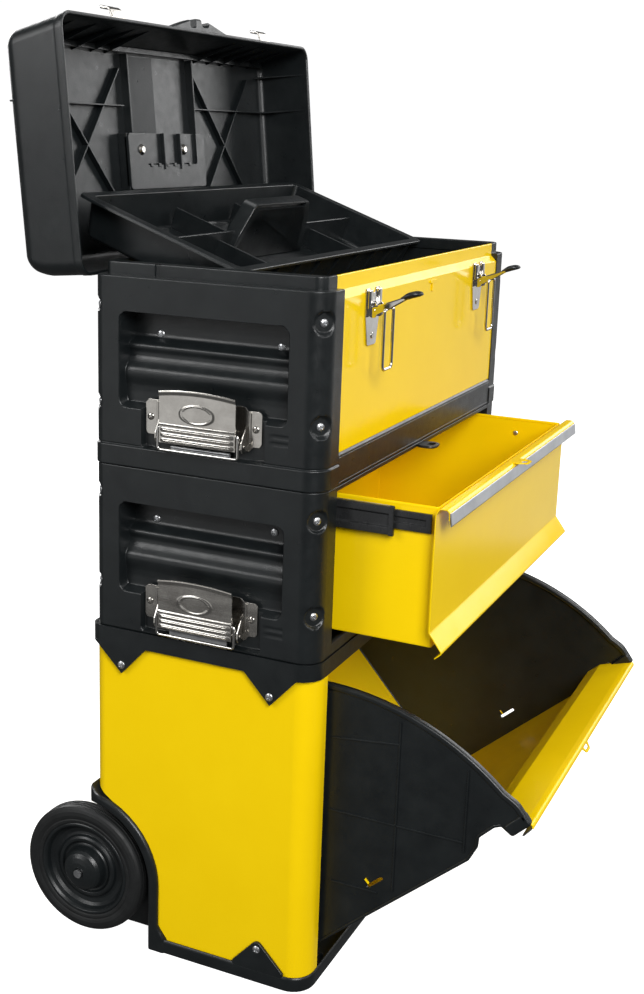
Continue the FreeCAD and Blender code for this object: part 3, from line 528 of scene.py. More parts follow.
TOP_SEATS, MID_SEATS = (594.0, 511.0), (433.0, 351.0)
top_end = moulded_end(low=458.0, high=618.9, bay_low=476.0, seats=TOP_SEATS, skirt_top=476.0, rim_low=592.5)
middle_end = moulded_end(low=310.4, high=457.6, bay_low=312.6, seats=MID_SEATS)
pair("moulded_end_top", top_end, "top_box", BLACK, "top_end_{side}", crease=60)
pair("moulded_end_middle", middle_end, "drawer_unit", BLACK, "mid_end_{side}", crease=60)
pair("top_end_screws", end_screws(TOP_SEATS, ((55.0, 570.0), (-57.5, 569.0))), "top_box",
     ZINC, "top_screws")
pair("middle_end_screws", end_screws(MID_SEATS, ((58.0, 408.0), (-55.5, 413.0))), "drawer_unit",
     ZINC, "mid_screws")

# rim that the lid closes over, with a small locating notch
rim_plan = [(-206, 100.2), (-206, 97), (-218, 97), (-218, -97), (-206, -97),
            (-206, -100.2), (-230.5, -100.2), (-230.5, 47.5), (-229.0, 48.2), (-229.0, 51.8),
            (-230.5, 52.5), (-230.5, 100.2)]
rim = plate(fillet(rim_plan, [0, 0, 1, 1, 0, 0, 9, 0.4, 0.4, 0.4, 0.4, 6], 6), "z", 617.0, 629.5, 1.1)
pair("top_rim", rim, "top_box", BLACK)


# ---- top box
PANEL_HALF = 205.9          # half the width between the moulded ends
HASP_X = (-19, 3)           # the padlock tabs and loop
rail = fillet([(-103.8, 458.0), (-107.0, 458.0), (-107.0, 483.4), (-105.2, 485.5), (-103.8, 485.5)],
              [0.3, 0.8, 1.6, 0.8, 0.3], 4)
lip = [beam(PANEL_HALF, -107.35, -106.0, z, z + 1.3, 0.4) for z in (459.2, 480.6)]
floor = beam(PANEL_HALF, -104.2, 104.2, 458.0, 460.0, 0.3)
front_rail = join(plate(rail, "x", -PANEL_HALF, PANEL_HALF, 0.3), *lip)
ribs = [slab(x - 0.8, x + 0.8, -103, 103, 459.8, 463.0, 0.4, "y") for x in range(-180, 181, 60)]
back_rail = (front_rail[0] * (1, -1, 1), front_rail[1])
piece("top_box_floor", join(floor, front_rail, back_rail, *ribs), "top_box", BLACK, "top_floor")

front_line = [(-106.0, 485.7), (-106.0, 611.0), (-100.2, 617.0), (-100.2, 629.3),
              (-98.0, 629.3), (-98.0, 621.5)]
piece("front_panel", folded(front_line, -0.9, PANEL_HALF, 1.0), "top_box", YELLOW, "top_front_panel")
back_line = [(106.0, 485.7), (106.0, 600.0), (100.2, 606.0), (100.2, 629.3), (98.0, 629.3), (98.0, 621.5)]
back_panel = folded(back_line, 0.9, PANEL_HALF, 1.0)
seam = [slab(x - 45, x + 45, 105.7, 106.6, z, z + 5, 0.4, "y", 2.4) for x in (-120, 0, 120)
        for z in (520, 560)]
piece("back_panel", join(back_panel, *seam), "top_box", YELLOW, "top_back_panel")
trim = folded([(100.75, 612.0), (100.75, 629.4), (97.4, 629.4), (97.4, 600.0)], 0.5, PANEL_HALF, 0.4, 0.1)
piece("back_rim_trim", trim, "top_box", BLACK)
eye = [slab(-2, 15, -107.2, -106.1, 605.5, 608.5, 0.3, "y", 1.0),
       slab(3.4, 6.6, -107.2, -106.1, 598, 606, 0.3, "y", 1.0)]
piece("front_panel_eye", join(*eye), "top_box", YELLOW)
keep("lid_hinge", ZINC, 0.3)
hinge_rivets = [rivet((x + dx, 108.0, z), (0, 1, 0), 2.2, 1.0) for x in (-134, 134) for dx in (-8, 8)
                for z in (583, 598)]
piece("hinge_rivets", join(*hinge_rivets), "top_box", ZINC)

# ---- side latches
LATCH_Y = (-33.0, 38.0)
LEVER_MID = 2.5
UNIT_STEP = 163.5           # the drawer unit's latches are this far below the top box's


def latch_plate():
    """Base plate with shaped wings, folded cheeks, hinge pin and cover fins."""
    y0, y1 = LATCH_Y
    plan = [(-51, 491), (-49, 488), (-43, 488), (-40, 484), (45, 484), (48, 488), (56, 488),
            (58, 491), (58, 515), (55, 518), (44, 518), (41, 521), (-35, 521), (-38, 518),
            (-49, 518), (-51, 515)]
    wings = cut(plate(fillet(plan, 2.0, 3), "x", -234.4, -233.0, 0.35),
                slab(-236, -231, -12, 24, 498, 512, 0.3, "x", 2))
    bead = [slab(-235.3, -233.8, y, y + 2.2, 490, 517, 0.6, "x", 1.0) for y in (-41.4, 45.0)]
    cheeks = []
    for y in (y0 - 5.4, y1 + 3.8):
        shape = fillet([(-233.4, 482.6), (-243.5, 483.6), (-245.4, 487.5), (-245.0, 492.5),
                        (-238.5, 503), (-233.4, 506)],
                       2.0, 4)
        cheeks.append(plate(shape, "y", y, y + 1.6, 0.35))
    pin = tube([(-242, v, 489) for v in np.linspace(y0 - 5.4, y1 + 5.4, 8)], 1.5, 16)
    heads = [screw((-234.4, v, 503), (-1, 0, 0), 3.0, 1.4) for v in (-45.5, 53.0)]
    return join(wings, *bead, *cheeks, pin, *heads)


def latch_lever():
    """Pressed lever: crowned plate, rolled arched top, plain oval boss, finger ribs."""
    y0, y1 = LATCH_Y
    ys = np.linspace(y0, y1, 60)
    zs = np.concatenate([np.linspace(485.2, 500.5, 42), np.linspace(501.2, 522.5, 52),
                         np.linspace(523.2, 533, 12)])
    yy, tt = np.meshgrid(ys, zs)
    across = (yy - LEVER_MID) / 35.5
    arch = 2.6 * (1 - across ** 2)
    top = 528.4 + arch
    zz = np.where(tt > 500.5, 500.5 + (tt - 500.5) * (top - 500.5) / (533 - 500.5), tt)
    x = -246.9 - 0.5 * (1 - across ** 4)
    oval = np.hypot((yy - LEVER_MID) / 16.5, (zz - 511.5) / 8.3)
    x = x - 0.75 * rise(-oval, -1.0, -0.9) + 0.45 * rise(-oval, -0.86, -0.80)
    for mark in (487.5, 492.0, 496.5):
        x = x - 1.25 * np.exp(-((zz - mark) / 1.0) ** 2) * rise(35.5 - np.abs(yy - LEVER_MID), 1.5, 4)
    x = x - 0.8 * rise(-np.abs(zz - 500.6), -0.9, 0)
    roll = np.clip((zz - (top - 3.4)) / 3.4, 0, 1)
    x = x - 1.15 * np.sin(roll * math.pi * 0.72)
    front = np.stack([x, yy, zz], 2)
    back = front + (0.9, 0, 0)
    rows = [np.vstack([near, far[::-1]]) for near, far in zip(front, back)]
    skin = loft(rows)
    ears = [slab(-247.0, -240.2, v, v + 1.2, 486.2, 503, 0.3, "y", 2.6) for v in (y0 + 0.1, y1 - 1.3)]
    return join(skin, *ears)


def latch_wire():
    """Wire loop of a side latch."""
    y0, y1 = LATCH_Y[0] - 1.8, LATCH_Y[1] + 1.8
    path = [(-245.5, y0 + 4.4, 498), (-245.5, y0, 498), (-245.5, y0, 478.8), (-245.5, y1, 478.8),
            (-245.5, y1, 498), (-245.5, y1 - 4.4, 498)]
    return wire(path, 1.25, 2.6)


for unit, body, drop in (("top", "top_box", 0.0), ("mid", "drawer_unit", -UNIT_STEP)):
    pair(f"{unit}_latch_base", moved(latch_plate(), dz=drop), body, NICKEL, f"{unit}_latch_plates")
    pair(f"{unit}_latch_lever", moved(latch_lever(), dz=drop), unit + "_lever_{side}", NICKEL,
         unit + "_lever_{side}", crease=50)
    pair(f"{unit}_latch_wire", moved(latch_wire(), dz=drop), unit + "_bail_{side}", CHROME,
         unit + "_bail_{side}")
keep("base_catches", ZINC, 0.2)
keep("mid_catches", ZINC, 0.2)


# ---- front latches
FRONT_LATCHES = (("left", -146.0), ("right", 140.0))


def front_plate(x):
    """Front latch plate with two rolled edges, ears, pin and tongue."""
    plan = [(x - 15, 615), (x - 15, 592), (x - 9.5, 567), (x + 9.5, 567), (x + 15, 592),
            (x + 15, 615), (x + 6, 615), (x + 6, 611), (x - 6, 611), (x - 6, 615)]
    base = plate(fillet(plan, [1.5, 3, 3, 3, 3, 1.5, 1, 1, 1, 1], 4), "y", -107.5, -106.1, 0.4)
    curls = []
    for side in (-1, 1):
        curls.append(slab(x + side * 10 - 3.4, x + side * 10 + 3.4, -110.6, -106.8, 598,
                          614, 1.4, "z", 1.7))
    ears = [slab(e, e + 1.4, -113.9, -107, 590.5, 603.5, 0.35, "x", 3.0) for e in (x - 7.4, x + 6.0)]
    pin = pin_along(x - 8.5, x + 8.5, -112, 597, 1.5, 14)
    tongue = slab(x - 4.6, x + 4.6, -108.6, -107.2, 600, 611, 0.4, "z", 0.8)
    return join(base, *curls, *ears, pin, tongue, rivet((x, -107.4, 575), (0, -1, 0), 2.7, 1.1))


def front_lever(x):
    """Forward-standing lever: dished channel narrowing to a rounded thumb end."""
    rows = []
    for t in np.linspace(0, 1, 22):
        y = -110.6 - 27.0 * t
        z = 598.4 + 9.6 * t ** 1.2
        half = 8.9 - 1.2 * t
        wall = 6.0 * (1 - t) ** 1.1 + 0.4
        loop = [(x - half, z - wall), (x - half, z + 1.0), (x - half + 1.4, z + 2.1),
                (x, z + 1.2 + 0.5 * t), (x + half - 1.4, z + 2.1), (x + half, z + 1.0),
                (x + half, z - wall), (x + half - 1.1, z - wall), (x + half - 1.2, z + 0.2),
                (x, z - 0.1 + 0.5 * t), (x - half + 1.2, z + 0.2), (x - half + 1.1, z - wall)]
        rows.append(np.array([(p[0], y, p[1]) for p in loop]))
    channel = loft(rows)
    return channel


def front_tip(x):
    """Black grip on the end of a front lever."""
    rows = []
    for t in np.linspace(0, 1, 16):
        y = -134.5 - 16.2 * t
        z = 608.4 + 4.6 * math.sin(t * 1.5) - 0.6 * t * t
        half = 8.2 * math.sqrt(max(0.02, 1 - max(0.0, t - 0.45) ** 2 * 3.1))
        thick = 2.9 * math.sqrt(max(0.05, 1 - t ** 4)) * min(1.0, 0.45 + t * 2.2)
        rows.append(np.array([(x + half * math.copysign(abs(math.cos(a)) ** 0.7, math.cos(a)), y,
                               z + thick * math.copysign(abs(math.sin(a)) ** 0.8, math.sin(a)))
                              for a in np.linspace(0, 2 * math.pi, 28, endpoint=False)]))
    return loft(rows)


def front_wire(x):
    """Wire loop hanging from a front lever."""
    half, y, z = 10.3, -122.0, 598.0
    path = [(x - half + 3.4, y, z), (x - half, y, z), (x - half, y, z - 49.8), (x + half, y, z - 49.8),
            (x + half, y, z), (x + half - 3.4, y, z)]
    return wire(path, 1.4, 4.2)


plates = []
for side, x in FRONT_LATCHES:
    plates.append(front_plate(x))
    piece("front_latch_lever_" + side, front_lever(x), "front_lever_" + side, CHROME, "front_lever_" + side)
    piece("front_latch_tip_" + side, front_tip(x), "front_lever_" + side, BLACK)
    piece("front_latch_wire_" + side, front_wire(x), "front_bail_" + side, CHROME, "front_bail_" + side)
piece("front_latch_bases", join(*plates), "top_box", CHROME, "front_latch_plates")


# ---- lid
HINGE, LID_OPEN = (110.0, 613.0), 95.3
LID_BODY = "lid"


def opened(shape):
    """Turned from shut to the open lid's place."""
    return swung(shape, HINGE, -LID_OPEN)


def lid_plan(z, d):
    """Outline of the lid at a height, moved in by d."""
    lift = (z - 619.3) / 62.7
    front, back = -107.0 + 11.0 * lift, 107.0 - 6.0 * max(0.0, (z - 660.0) / 22.0)
    wide = 240.0 - 2.0 * lift
    return raise_to("z", z, fillet(rectangle(d - wide, wide - d, front + d, back - d),
                                   max(2.0, 14.0 - d), 7))


def lid_form():
    """Lid shell: bead along the rim, drafted walls and rounded top edges."""
    low, high, wall, soft = 619.3, 682.0, 3.0, 13.0
    rows = [lid_plan(low + 0.5, 2.6), lid_plan(low, 2.1), lid_plan(low, 0.5), lid_plan(low + 0.5, 0.0),
            lid_plan(low + 6.5, 0.0), lid_plan(low + 7.3, 0.5)]
    rows += [lid_plan(z, 0.5) for z in np.linspace(low + 9, high - soft, 8)]
    for a in np.radians(np.linspace(8, 90, 11)):
        rows.append(lid_plan(high - soft * (1 - math.sin(a)), 0.5 + soft * (1 - math.cos(a))))
    outer_top = rows[-1].copy()
    rows.append(np.stack([outer_top[:, 0] * 0.9, outer_top[:, 1] * 0.8 + 0.5, outer_top[:, 2]], 1))
    outer = loft(rows[::-1], caps=False)
    cap_top = (rows[-1], [tuple(range(len(rows[-1])))])
    inner = [lid_plan(low + 0.5, 2.6)]
    inner += [lid_plan(z, 0.5 + wall) for z in np.linspace(low + 2, high - wall - 7, 6)]
    for a in np.radians(np.linspace(10, 90, 8)):
        inner.append(lid_plan(high - wall - 7 * (1 - math.sin(a)), 0.5 + wall + 7 * (1 - math.cos(a))))
    inner_skin = loft(inner, caps=False)
    cap_in = (inner[-1], [tuple(range(len(inner[-1])))])
    return join(outer, cap_top, inner_skin, cap_in)


piece("lid_outer", opened(lid_form()), LID_BODY, BLACK, "lid_shell", crease=50)

ROOF = 679.0
ribs = []
for s in (-1, 1):
    for slope in (-1, 1):
        x0, x1, y0, y1 = s * 132 - 62, s * 132 + 62, -4 - slope * 70, -4 + slope * 70
        nx, ny = -(y1 - y0) / 187.0 * 0.9, (x1 - x0) / 187.0 * 0.9
        ribs.append(plate([(x0 - nx, y0 - ny), (x1 - nx, y1 - ny), (x1 + nx, y1 + ny),
                           (x0 + nx, y0 + ny)], "z",
                          ROOF - 5.5, ROOF + 0.6, 0.4))
    ribs.append(slab(min(s * 68, s * 236), max(s * 68, s * 236), -40.8, -39.2, ROOF - 7,
                     ROOF + 0.6, 0.4, "x"))
    for y in (-78, -40, 62):
        ribs.append(plate([(s * 236.4, 624), (s * 234.6, 668), (s * 231, 675), (s * 222, 679.4),
                           (s * 231.8, 650)],
                          "y", y - 0.8, y + 0.8, 0.3))
for x in (-58.0, 66.0):
    ribs.append(slab(x - 1.1, x + 1.1, -88, 32, ROOF - 8, ROOF + 0.6, 0.5, "y"))
for x in (-205, -170, -138, -108, -84, 84, 112, 140, 168, 204):
    ribs.append(plate([(-103.6, 623), (-95.0, 671), (-91, 679.4), (-86.5, 679.4), (-101.2, 631)], "x",
                      x - 0.8, x + 0.8, 0.3))
ribs.append(slab(-231, 231, -93.8, -88.6, 672.6, 674.8, 0.5, "x"))
ribs.append(plate([(-57, ROOF + 0.6), (-57, ROOF - 1.0), (-10, ROOF - 5.2), (-6, ROOF + 0.6)],
                  "y", -86, 20, 0.4))
piece("lid_stiffeners", opened(join(*ribs)), LID_BODY, BLACK, "lid_ribs")

bracket = slab(-73, 75, -15, 38, 667.5, 672.5, 0.9, "z", 4)
window = slab(-41, 58, -18, 15, 659, 670.5, 0.5, "z", 3)
bracket = cut(bracket, window)
side_walls = [slab(x0, x1, -15, 38, 669, 679.4, 0.8, "y")
              for x0, x1 in ((-73, -68.5), (70.5, 75), (-44, -41.5), (58, 60.5))]
fins = [slab(x - 0.9, x + 0.9, -15, 19.5, 666.2, 672, 0.5, "y") for x in (-8.0, 24.0)]
teeth = [slab(x, x + 5, 13.5, 17, 666.6, 670, 0.6, "z") for x in range(-36, 54, 15)]
piece("lid_pivot_bracket", opened(join(bracket, *side_walls, *fins, *teeth)), LID_BODY,
      BLACK, "lid_bracket")
BRACKET_RIVETS = (-50.0, 31.0)
rivets = [screw((x, 0.5, 667.7), (0, 0, -1), 3.6, 1.8) for x in BRACKET_RIVETS]
backs = [tube([(x, 0.5, z) for z in np.linspace(667, 670.8, 4)], 5.2, 24) for x in BRACKET_RIVETS]


def lid_hook(x):
    """Catch of a front latch: riveted foot and a hook curled at its tip."""
    foot = plate([(-106.6, 622.0), (-104.1, 634.0), (-105.7, 634.0), (-108.2, 622.0)], "x",
                 x - 11, x + 11, 0.4)
    line = fillet([(-107.4, 622.8), (-115.2, 625.2), (-117.2, 628), (-117.6, 634.6)], 2.4, 6, closed=False)
    hook = plate(ribbon(line, -1.9), "x", x - 9.4, x + 9.4, 0.5)
    curl = pin_along(x - 9.4, x + 9.4, -117.4, 634.0, 1.3, 14)
    pads = [rivet((x + d, -107.0, 628.5), (0, -1, 0.2), 2.0, 0.9) for d in (-8.4, 8.4)]
    return join(foot, hook, curl, *pads)


piece("lid_steelwork", opened(join(*rivets, *backs, *[lid_hook(x) for _, x in FRONT_LATCHES])), LID_BODY,
      NICKEL, "lid_fittings")


def lock_hood():
    """Bell-shaped cover over the padlock eye at the middle of the lid's front edge."""
    xs = np.linspace(-72, 62, 68)
    rows = []
    for x in xs:
        u = (x + 5) / 66
        bulge = max(0.0, math.cos(u * math.pi / 2)) ** 1.6
        front = -105.6 - 12.0 * bulge
        low, high = 619.9, 630.0 + 20 * bulge
        front_line = [(-104.4, low), (front + 1.6 * bulge, low), (front, low + 1.6), (front + 0.4, low + 8),
                      (front + 2.5 * bulge, (low + high) / 2 + 3), (-104.0, high)]
        rows.append(np.array([(x, y, z) for y, z in fillet(front_line,
                                                           [0, 1.2, 1.2, 5, 6, 0], 4, even=True)]))
    return loft(rows)


hood = cut(lock_hood(), slab(-24, -12, -122, -108.5, 610, 634, 1.0, "z", 3),
           slab(-2, 14, -122, -110, 612, 640, 1.0, "z", 5))
piece("lid_lock_hood", opened(hood), LID_BODY, BLACK)
barrels = []
for x0, x1 in ((-190.0, -150.0), (-118.0, 118.0), (150.0, 190.0)):
    loop = fillet([(105.2, 613), (105.2, 632), (109.6, 632), (109.6, 617),
                   *arc(110, 613, 5.0, 80, -180, 18)], 0.3, 2)
    barrels.append(plate(loop, "x", x0, x1, 0.6))
for x in (-80.0, 80.0):
    barrels.append(slab(x - 9, x + 9, -9, 9, 680, 695, 2.2, "x", 5))
piece("lid_barrels_and_posts", opened(join(*barrels)), LID_BODY, BLACK)

grip = [slab(x - 5, x + 5, -5.5, 46, 684.5, 694.3, 2.4, "x", 4) for x in (-64.0, 64.0)]
grip.append(slab(-69, 69, 34, 48, 683.5, 695.3, 3.2, "x", 5))
grip += [slab(x, x + 3, 33.2, 48.8, 683.0, 695.5, 1.2, "x", 5) for x in range(-46, 47, 8)]
grip += [pin_along(a, b, 0, 689.5, 3.0, 18, 5) for a, b in ((64, 86), (-86, -64))]
piece("lid_carry_handle", opened(join(*grip)), "lid_handle", BLACK_MATT, "lid_handle")


# ---- tray
TRAY_LEAN = 19.7
TRAY_FRONT = (-19.0, 627.0)     # y and z of the front rim edge


def leaned(shape):
    """Tray drawn level with its front rim edge at the origin, put where it leans."""
    return moved(swung(shape, (0.0, 0.0), TRAY_LEAN), 0, *TRAY_FRONT)


TRAY_DEEP = 165.7
TRAY_MID = TRAY_DEEP / 2


def tray_form():
    """Thin-walled tray: rolled rim with a flange, drafted walls and rounded floor edges."""
    def ring(x, y, z, r):
        return raise_to("z", z, fillet(rectangle(-x, x, y, TRAY_DEEP - y), r, 6))
    rows = [ring(215, 0, -2.6, 7), ring(214.9, 0.1, -0.7, 7), ring(214.2, 0.8, 0, 6.5),
            ring(203.4, 7.4, 0, 5), ring(202.6, 8.2, -0.7, 5), ring(200.0, 12.2, -31.0, 5),
            ring(198.6, 13.6, -33.6, 5), ring(195.8, 16.4, -34.4, 4)]
    inside = loft(rows, caps=False)
    floor = (rows[-1], [tuple(range(len(rows[-1])))])
    under = [ring(215, 0, -2.6, 7), ring(213.4, 1.6, -2.6, 6), ring(213.2, 1.8, -1.9, 6),
             ring(205.4, 5.6, -1.9, 5), ring(205, 6, -2.6, 5), ring(202.2, 10.0, -32.6, 6),
             ring(200.4, 11.8, -35.6, 6), ring(196, 15.5, -36.4, 5)]
    outside = loft(under, caps=False)
    base = (under[-1], [tuple(range(len(under[-1])))])
    return join(inside, floor, outside, base)


def tray_grip():
    """Trapezoid handle: two sloping legs and a top bar, with raised edges."""
    outer = [(-80, -34.4), (-74, -9), (-59, 20.5), (59, 20.5), (74, -9), (80, -34.4), (65, -34.4),
             (60, -9), (51, 12.5), (-51, 12.5), (-60, -9), (-65, -34.4)]
    outline = fillet(outer, [1, 14, 9, 9, 14, 1, 1, 12, 7, 7, 12, 1], 6)
    dish = fillet([(-52, 18.2), (52, 18.2), (50, 14.8), (-50, 14.8)], 1.2, 3)
    hollows = [plate(dish, "y", TRAY_MID + a, TRAY_MID + b, 0.4) for a, b in ((-12, -3), (3, 12))]
    return cut(plate(outline, "y", TRAY_MID - 7.5, TRAY_MID + 7.5, 1.6), *hollows)


inside = [slab(-200.5, 200.5, TRAY_MID - 1.1, TRAY_MID + 1.1, -35, -7, 0.7, "x")]
inside += [slab(x - 0.9, x + 0.9, 13, TRAY_MID, -35, -14, 0.6, "y") for x in (-100.0, 100.0)]
inside += [slab(x - 0.9, x + 0.9, TRAY_MID, 153, -35, -14, 0.6, "y") for x in (-60.0, 60.0)]
outer_ribs = [plate([(y0, -2.2), (y1, -2.2), (y2, -33)], "x", x - 0.8, x + 0.8, 0.3)
              for x in range(-180, 181, 45) for y0, y1, y2 in ((1.6, 6.5, 10.2), (164.1, 159.2, 155.5))]
piece("tote_tray_body", leaned(join(tray_form(), *inside, *outer_ribs)), "tray", BLACK, "tote_tray",
      crease=50)
piece("tote_tray_handle", leaned(tray_grip()), "tray", BLACK)


# ---- drawer unit
sill = plate(fillet([(-103.5, 310.4), (-107.0, 310.4), (-107.0, 320.3), (-105.8, 321.5), (-103.5, 321.5)],
                    [0.3, 0.8, 0.8, 0.8, 0.3], 4), "x", -PANEL_HALF, PANEL_HALF, 0.3)
case = [sill, beam(PANEL_HALF, -103.6, 106, 310.8, 312.8, 0.4)]
case.append(beam(PANEL_HALF, 104, 106, 310.8, 457.2, 0.4))
case.append(beam(PANEL_HALF, -106, 106, 455.2, 457.2, 0.4))
case.append(beam(PANEL_HALF, -107, -105, 453.4, 457.2, 0.5))
for x in (-135, 0, 135):
    case.append(slab(x - 48, x + 48, 105.6, 106.5, 348, 424, 0.45, "y", 6))
loop = cut(slab(*HASP_X, -124.8, -105.4, 453.6, 456.4, 1.2, "z", 7),
           slab(-13.6, -2.4, -122, -115.2, 450, 460, 0.3, "z", 3))
piece("drawer_case", join(*case, loop), "drawer_unit", BLACK, "mid_case")


def channel(line, y0, y1, t=1.1, radius=0.9):
    """Rolled steel section running front to back, from a line in x and z."""
    return plate(ribbon(fillet(line, radius, 4, closed=False), t), "y", y0, y1, 0.2)


FRONT_Y = -192.0
fixed = channel([(-201.6, 419.5), (-205.4, 419.5), (-205.4, 447.5), (-201.6, 447.5)], -101, 100, -1.2)
pair("drawer_rail_fixed", fixed, "drawer_unit", RAIL, "fixed_rails")
middle_line = [(-197.0, 425.0), (-197.0, 421.4), (-200.2, 421.4), (-200.2, 427.6), (-198.9, 428.8),
               (-198.9, 438.2), (-200.2, 439.4), (-200.2, 445.6), (-197.0, 445.6), (-197.0, 442.0)]
MIDDLE_Y = -154.9
middle = join(channel(middle_line, MIDDLE_Y, MIDDLE_Y + 190, -0.9),
              slab(-200.6, -197.2, MIDDLE_Y, MIDDLE_Y + 4.5, 420.6, 446.4, 0.6, "y", 1.2))
pair("drawer_rail_middle", middle, "rail_{side}", RAIL, "middle_rail_{side}")
# thin bright zinc strips along the middle rail's top and bottom edges: painted highlight lines standing in
# for light caught by the rail's rounded edges
rail_highlight_strips = [slab(-197.3, -196.7, MIDDLE_Y + 0.5, MIDDLE_Y + 189.5, z, z + 0.5, 0.15, "y")
         for z in (421.0, 445.5)]
pair("drawer_rail_edges", join(*rail_highlight_strips), "rail_{side}", ZINC)
inner_line = [(-193.5, 426.4), (-195.9, 426.4), (-195.9, 431.6), (-194.9, 432.6),
              (-194.9, 436.4), (-195.9, 437.4), (-195.9, 442.6), (-193.5, 442.6)]
inner_rail = join(channel(inner_line, FRONT_Y + 6, 6, -0.8, 0.7),
                  slab(-196.0, -193.6, FRONT_Y + 6, FRONT_Y + 11, 427.2, 441.8, 0.4, "y", 1.0))
pair("drawer_rail_inner", inner_rail, "drawer", RAIL, "drawer_rails")


def tub():
    """Open steel tub with rounded corners and a folded-over top edge."""
    x, front, back, low, high = 193.2, FRONT_Y + 1.0, 10.0, 328.0, 449.0

    def ring(d, z, r=2.6):
        return raise_to("z", z, fillet(rectangle(-x + d, x - d, front + d, back - d), max(0.5, r - d), 5))
    rows = [ring(2.4, low), ring(0.7, low + 0.6), ring(0, low + 2.2), ring(0.3, high - 2.9),
            ring(0, high - 2.5), ring(0, high - 0.7), ring(0.35, high - 0.15), ring(0.9, high),
            ring(1.4, high - 0.3), ring(1.6, high - 0.8), ring(1.6, high - 2.5), ring(1.2, high - 2.9),
            ring(0.95, low + 2.8), ring(1.5, low + 1.4), ring(3.0, low + 0.9)]
    return loft(rows)


rivets = [rivet((s * 191.9, y, 432.5), (-s, 0, 0), 2.6, 1.1) for s in (-1, 1) for y in (-144, -62, -8)]
piece("drawer_tub", tub(), "drawer", YELLOW, "drawer_box")
piece("drawer_rivets", join(*rivets), "drawer", ZINC)
y = FRONT_Y
front_line = [(y - 5.6, 323.4), (y - 12.0, 329.0), (y, 345.0), (y, 445.0),
              (y - 2.8, 450.0), (y - 8.8, 450.0), (y - 10.6, 448.0), (y - 10.6, 442.0)]
front = folded(front_line, -0.9, 203, 2.2)
flange = [slab(s * 196 - 6.6, s * 196 + 6.6, y + 0.7, y + 1.6, 346, 420, 0.3, "y", 1.2) for s in (-1, 1)]


def slotted_tab(y0, y1, z, t):
    """Hasp tab with rounded shoulders and a long slot."""
    x0, x1 = HASP_X
    plan = [(x0 + 3, y1), (x0, (y0 + y1) / 2), (x0 + 5, y0), (x1 - 5, y0),
            (x1, (y0 + y1) / 2), (x1 - 3, y1)]
    slot = slab(x0 + 5.2, x1 - 5.2, y0 + 2.6, y0 + 8.0, z - 5, z + 5, 0.3, "z", 2.4)
    return cut(plate(fillet(plan, 4, 4), "z", z, z + t, 0.35), slot)


piece("drawer_front_sheet", join(front, *flange, slotted_tab(y - 22.5, y - 3, 450.0, 1.2)), "drawer",
      YELLOW, "drawer_front")
strip_line = [(y - 11.2, 447.9), (y - 12.3, 448.3), (y - 13.8, 438.2), (y - 13.0, 436.6), (y - 12.0, 438.0)]
piece("drawer_grip_strip", folded(strip_line, 1.0, 203, 1.3, 0.25), "drawer", ALUMINIUM,
      "drawer_handle_strip")


# ---- bin
PIVOT, BIN_OPEN = (-100.0, 40.0), 48.4


def tipped(shape):
    """Turned from shut to the tilted bin's place."""
    return swung(shape, PIVOT, BIN_OPEN)


crown = arc(*PIVOT, 244.0, 84, 39.5, 32)
outline = [(-107.6, 16.2), (-107.6, 217.5), (-102.0, 231.0), (-95.3, 238.0), (-94.2, 256.0), (-96.2, 261.0),
           (-108.3, 264.1), (-107.2, 285.4), (-88.0, 287.0), *crown, (90.0, 192.0),
           (90.0, 24.0), (82.0, 16.2)]
radii = [5, 8, 4, 5, 6, 3, 3, 2, 20] + [0] * len(crown) + [8, 4, 4]
wall = plate(fillet(outline, radii, 5), "x", -203.4, -201.0, 0.7, 3)
wall = cut(wall, slab(-210, -190, -87.4, -84.2, 117, 136, 0.3, "x", 1.5))
shoulder = fillet([(-103.0, 285.4), (-88.0, 286.4), *arc(*PIVOT, 243.4, 84, 39.5, 32), (89.4, 191.6)],
                  [0, 20] + [0] * 34, 5, closed=False)
top_rim = plate(ribbon(shoulder, -5.4), "x", -204.6, -197.2, 1.9, 4)
lower = fillet([(-96.6, 261.6), (-94.6, 256.0), (-95.7, 238.0), (-102.4, 231.2),
                (-107.9, 217.5), (-107.9, 16.6), (82, 16.6), (89.6, 24)],
               [0, 6, 5, 4, 8, 5, 4, 0], 5, closed=False)
low_rim = plate(ribbon(lower, 2.6), "x", -204.4, -200.2, 0.9, 3)
nose = plate(fillet([(-97.0, 262.4), (-108.1, 264.8), (-107.1, 285.1), (-96.0, 286.0)],
                    2.6, 5), "x", -204.6,
             -196.0, 1.8, 3)


def rib_bar(y0, z0, y1, z1):
    """Low rib on the outer face of the tilted side, between two points in y and z."""
    length = math.hypot(y1 - y0, z1 - z0)
    ny, nz = -(z1 - z0) / length * 0.9, (y1 - y0) / length * 0.9
    return plate([(y0 + ny, z0 + nz), (y1 + ny, z1 + nz), (y1 - ny, z1 - nz), (y0 - ny, z0 - nz)], "x",
                 -204.5, -203.0, 0.45)


rib_lines = [(-172, 262, -172, 104), (-233, 233, -233, 158), (-110, 235, -172, 242), (-110, 167, -232, 167),
             (-114, 99, -158, 99)]
bars = [rib_bar(*line) for line in rib_lines]
side = join(tipped(join(wall, top_rim, low_rim, nose)), *bars)
pair("bin_side", side, "bin", BLACK, "bin_side_{side}")
SHEET_HALF = 200.9
sheet_line = [(84.0, 44.0), (84.0, 17.0), (-106.2, 17.0), (-106.2, 205.0), (-93.0, 236.0), (-93.0, 252.0),
              (-105.0, 279.0), (-108.0, 284.2), (-111.0, 282.6)]
sheet = folded(sheet_line, -0.9, SHEET_HALF, 3.0)
end = slab(-205.2, -200.5, -84.0, -78.8, 120.8, 122.0, 0.25, "x")
hem = beam(SHEET_HALF, 84.2, 85.4, 38.0, 44.0, 0.4)
piece("bin_steel_sheet", tipped(join(sheet, end, mirrored(end), hem,
                                     slotted_tab(-120.6, -104, 275.9, 1.2))), "bin", YELLOW, "bin_sheet")
strip_line = [(-110.4, 281.6), (-111.4, 282.0), (-112.8, 272.4), (-112.0, 270.8), (-111.0, 272.2)]
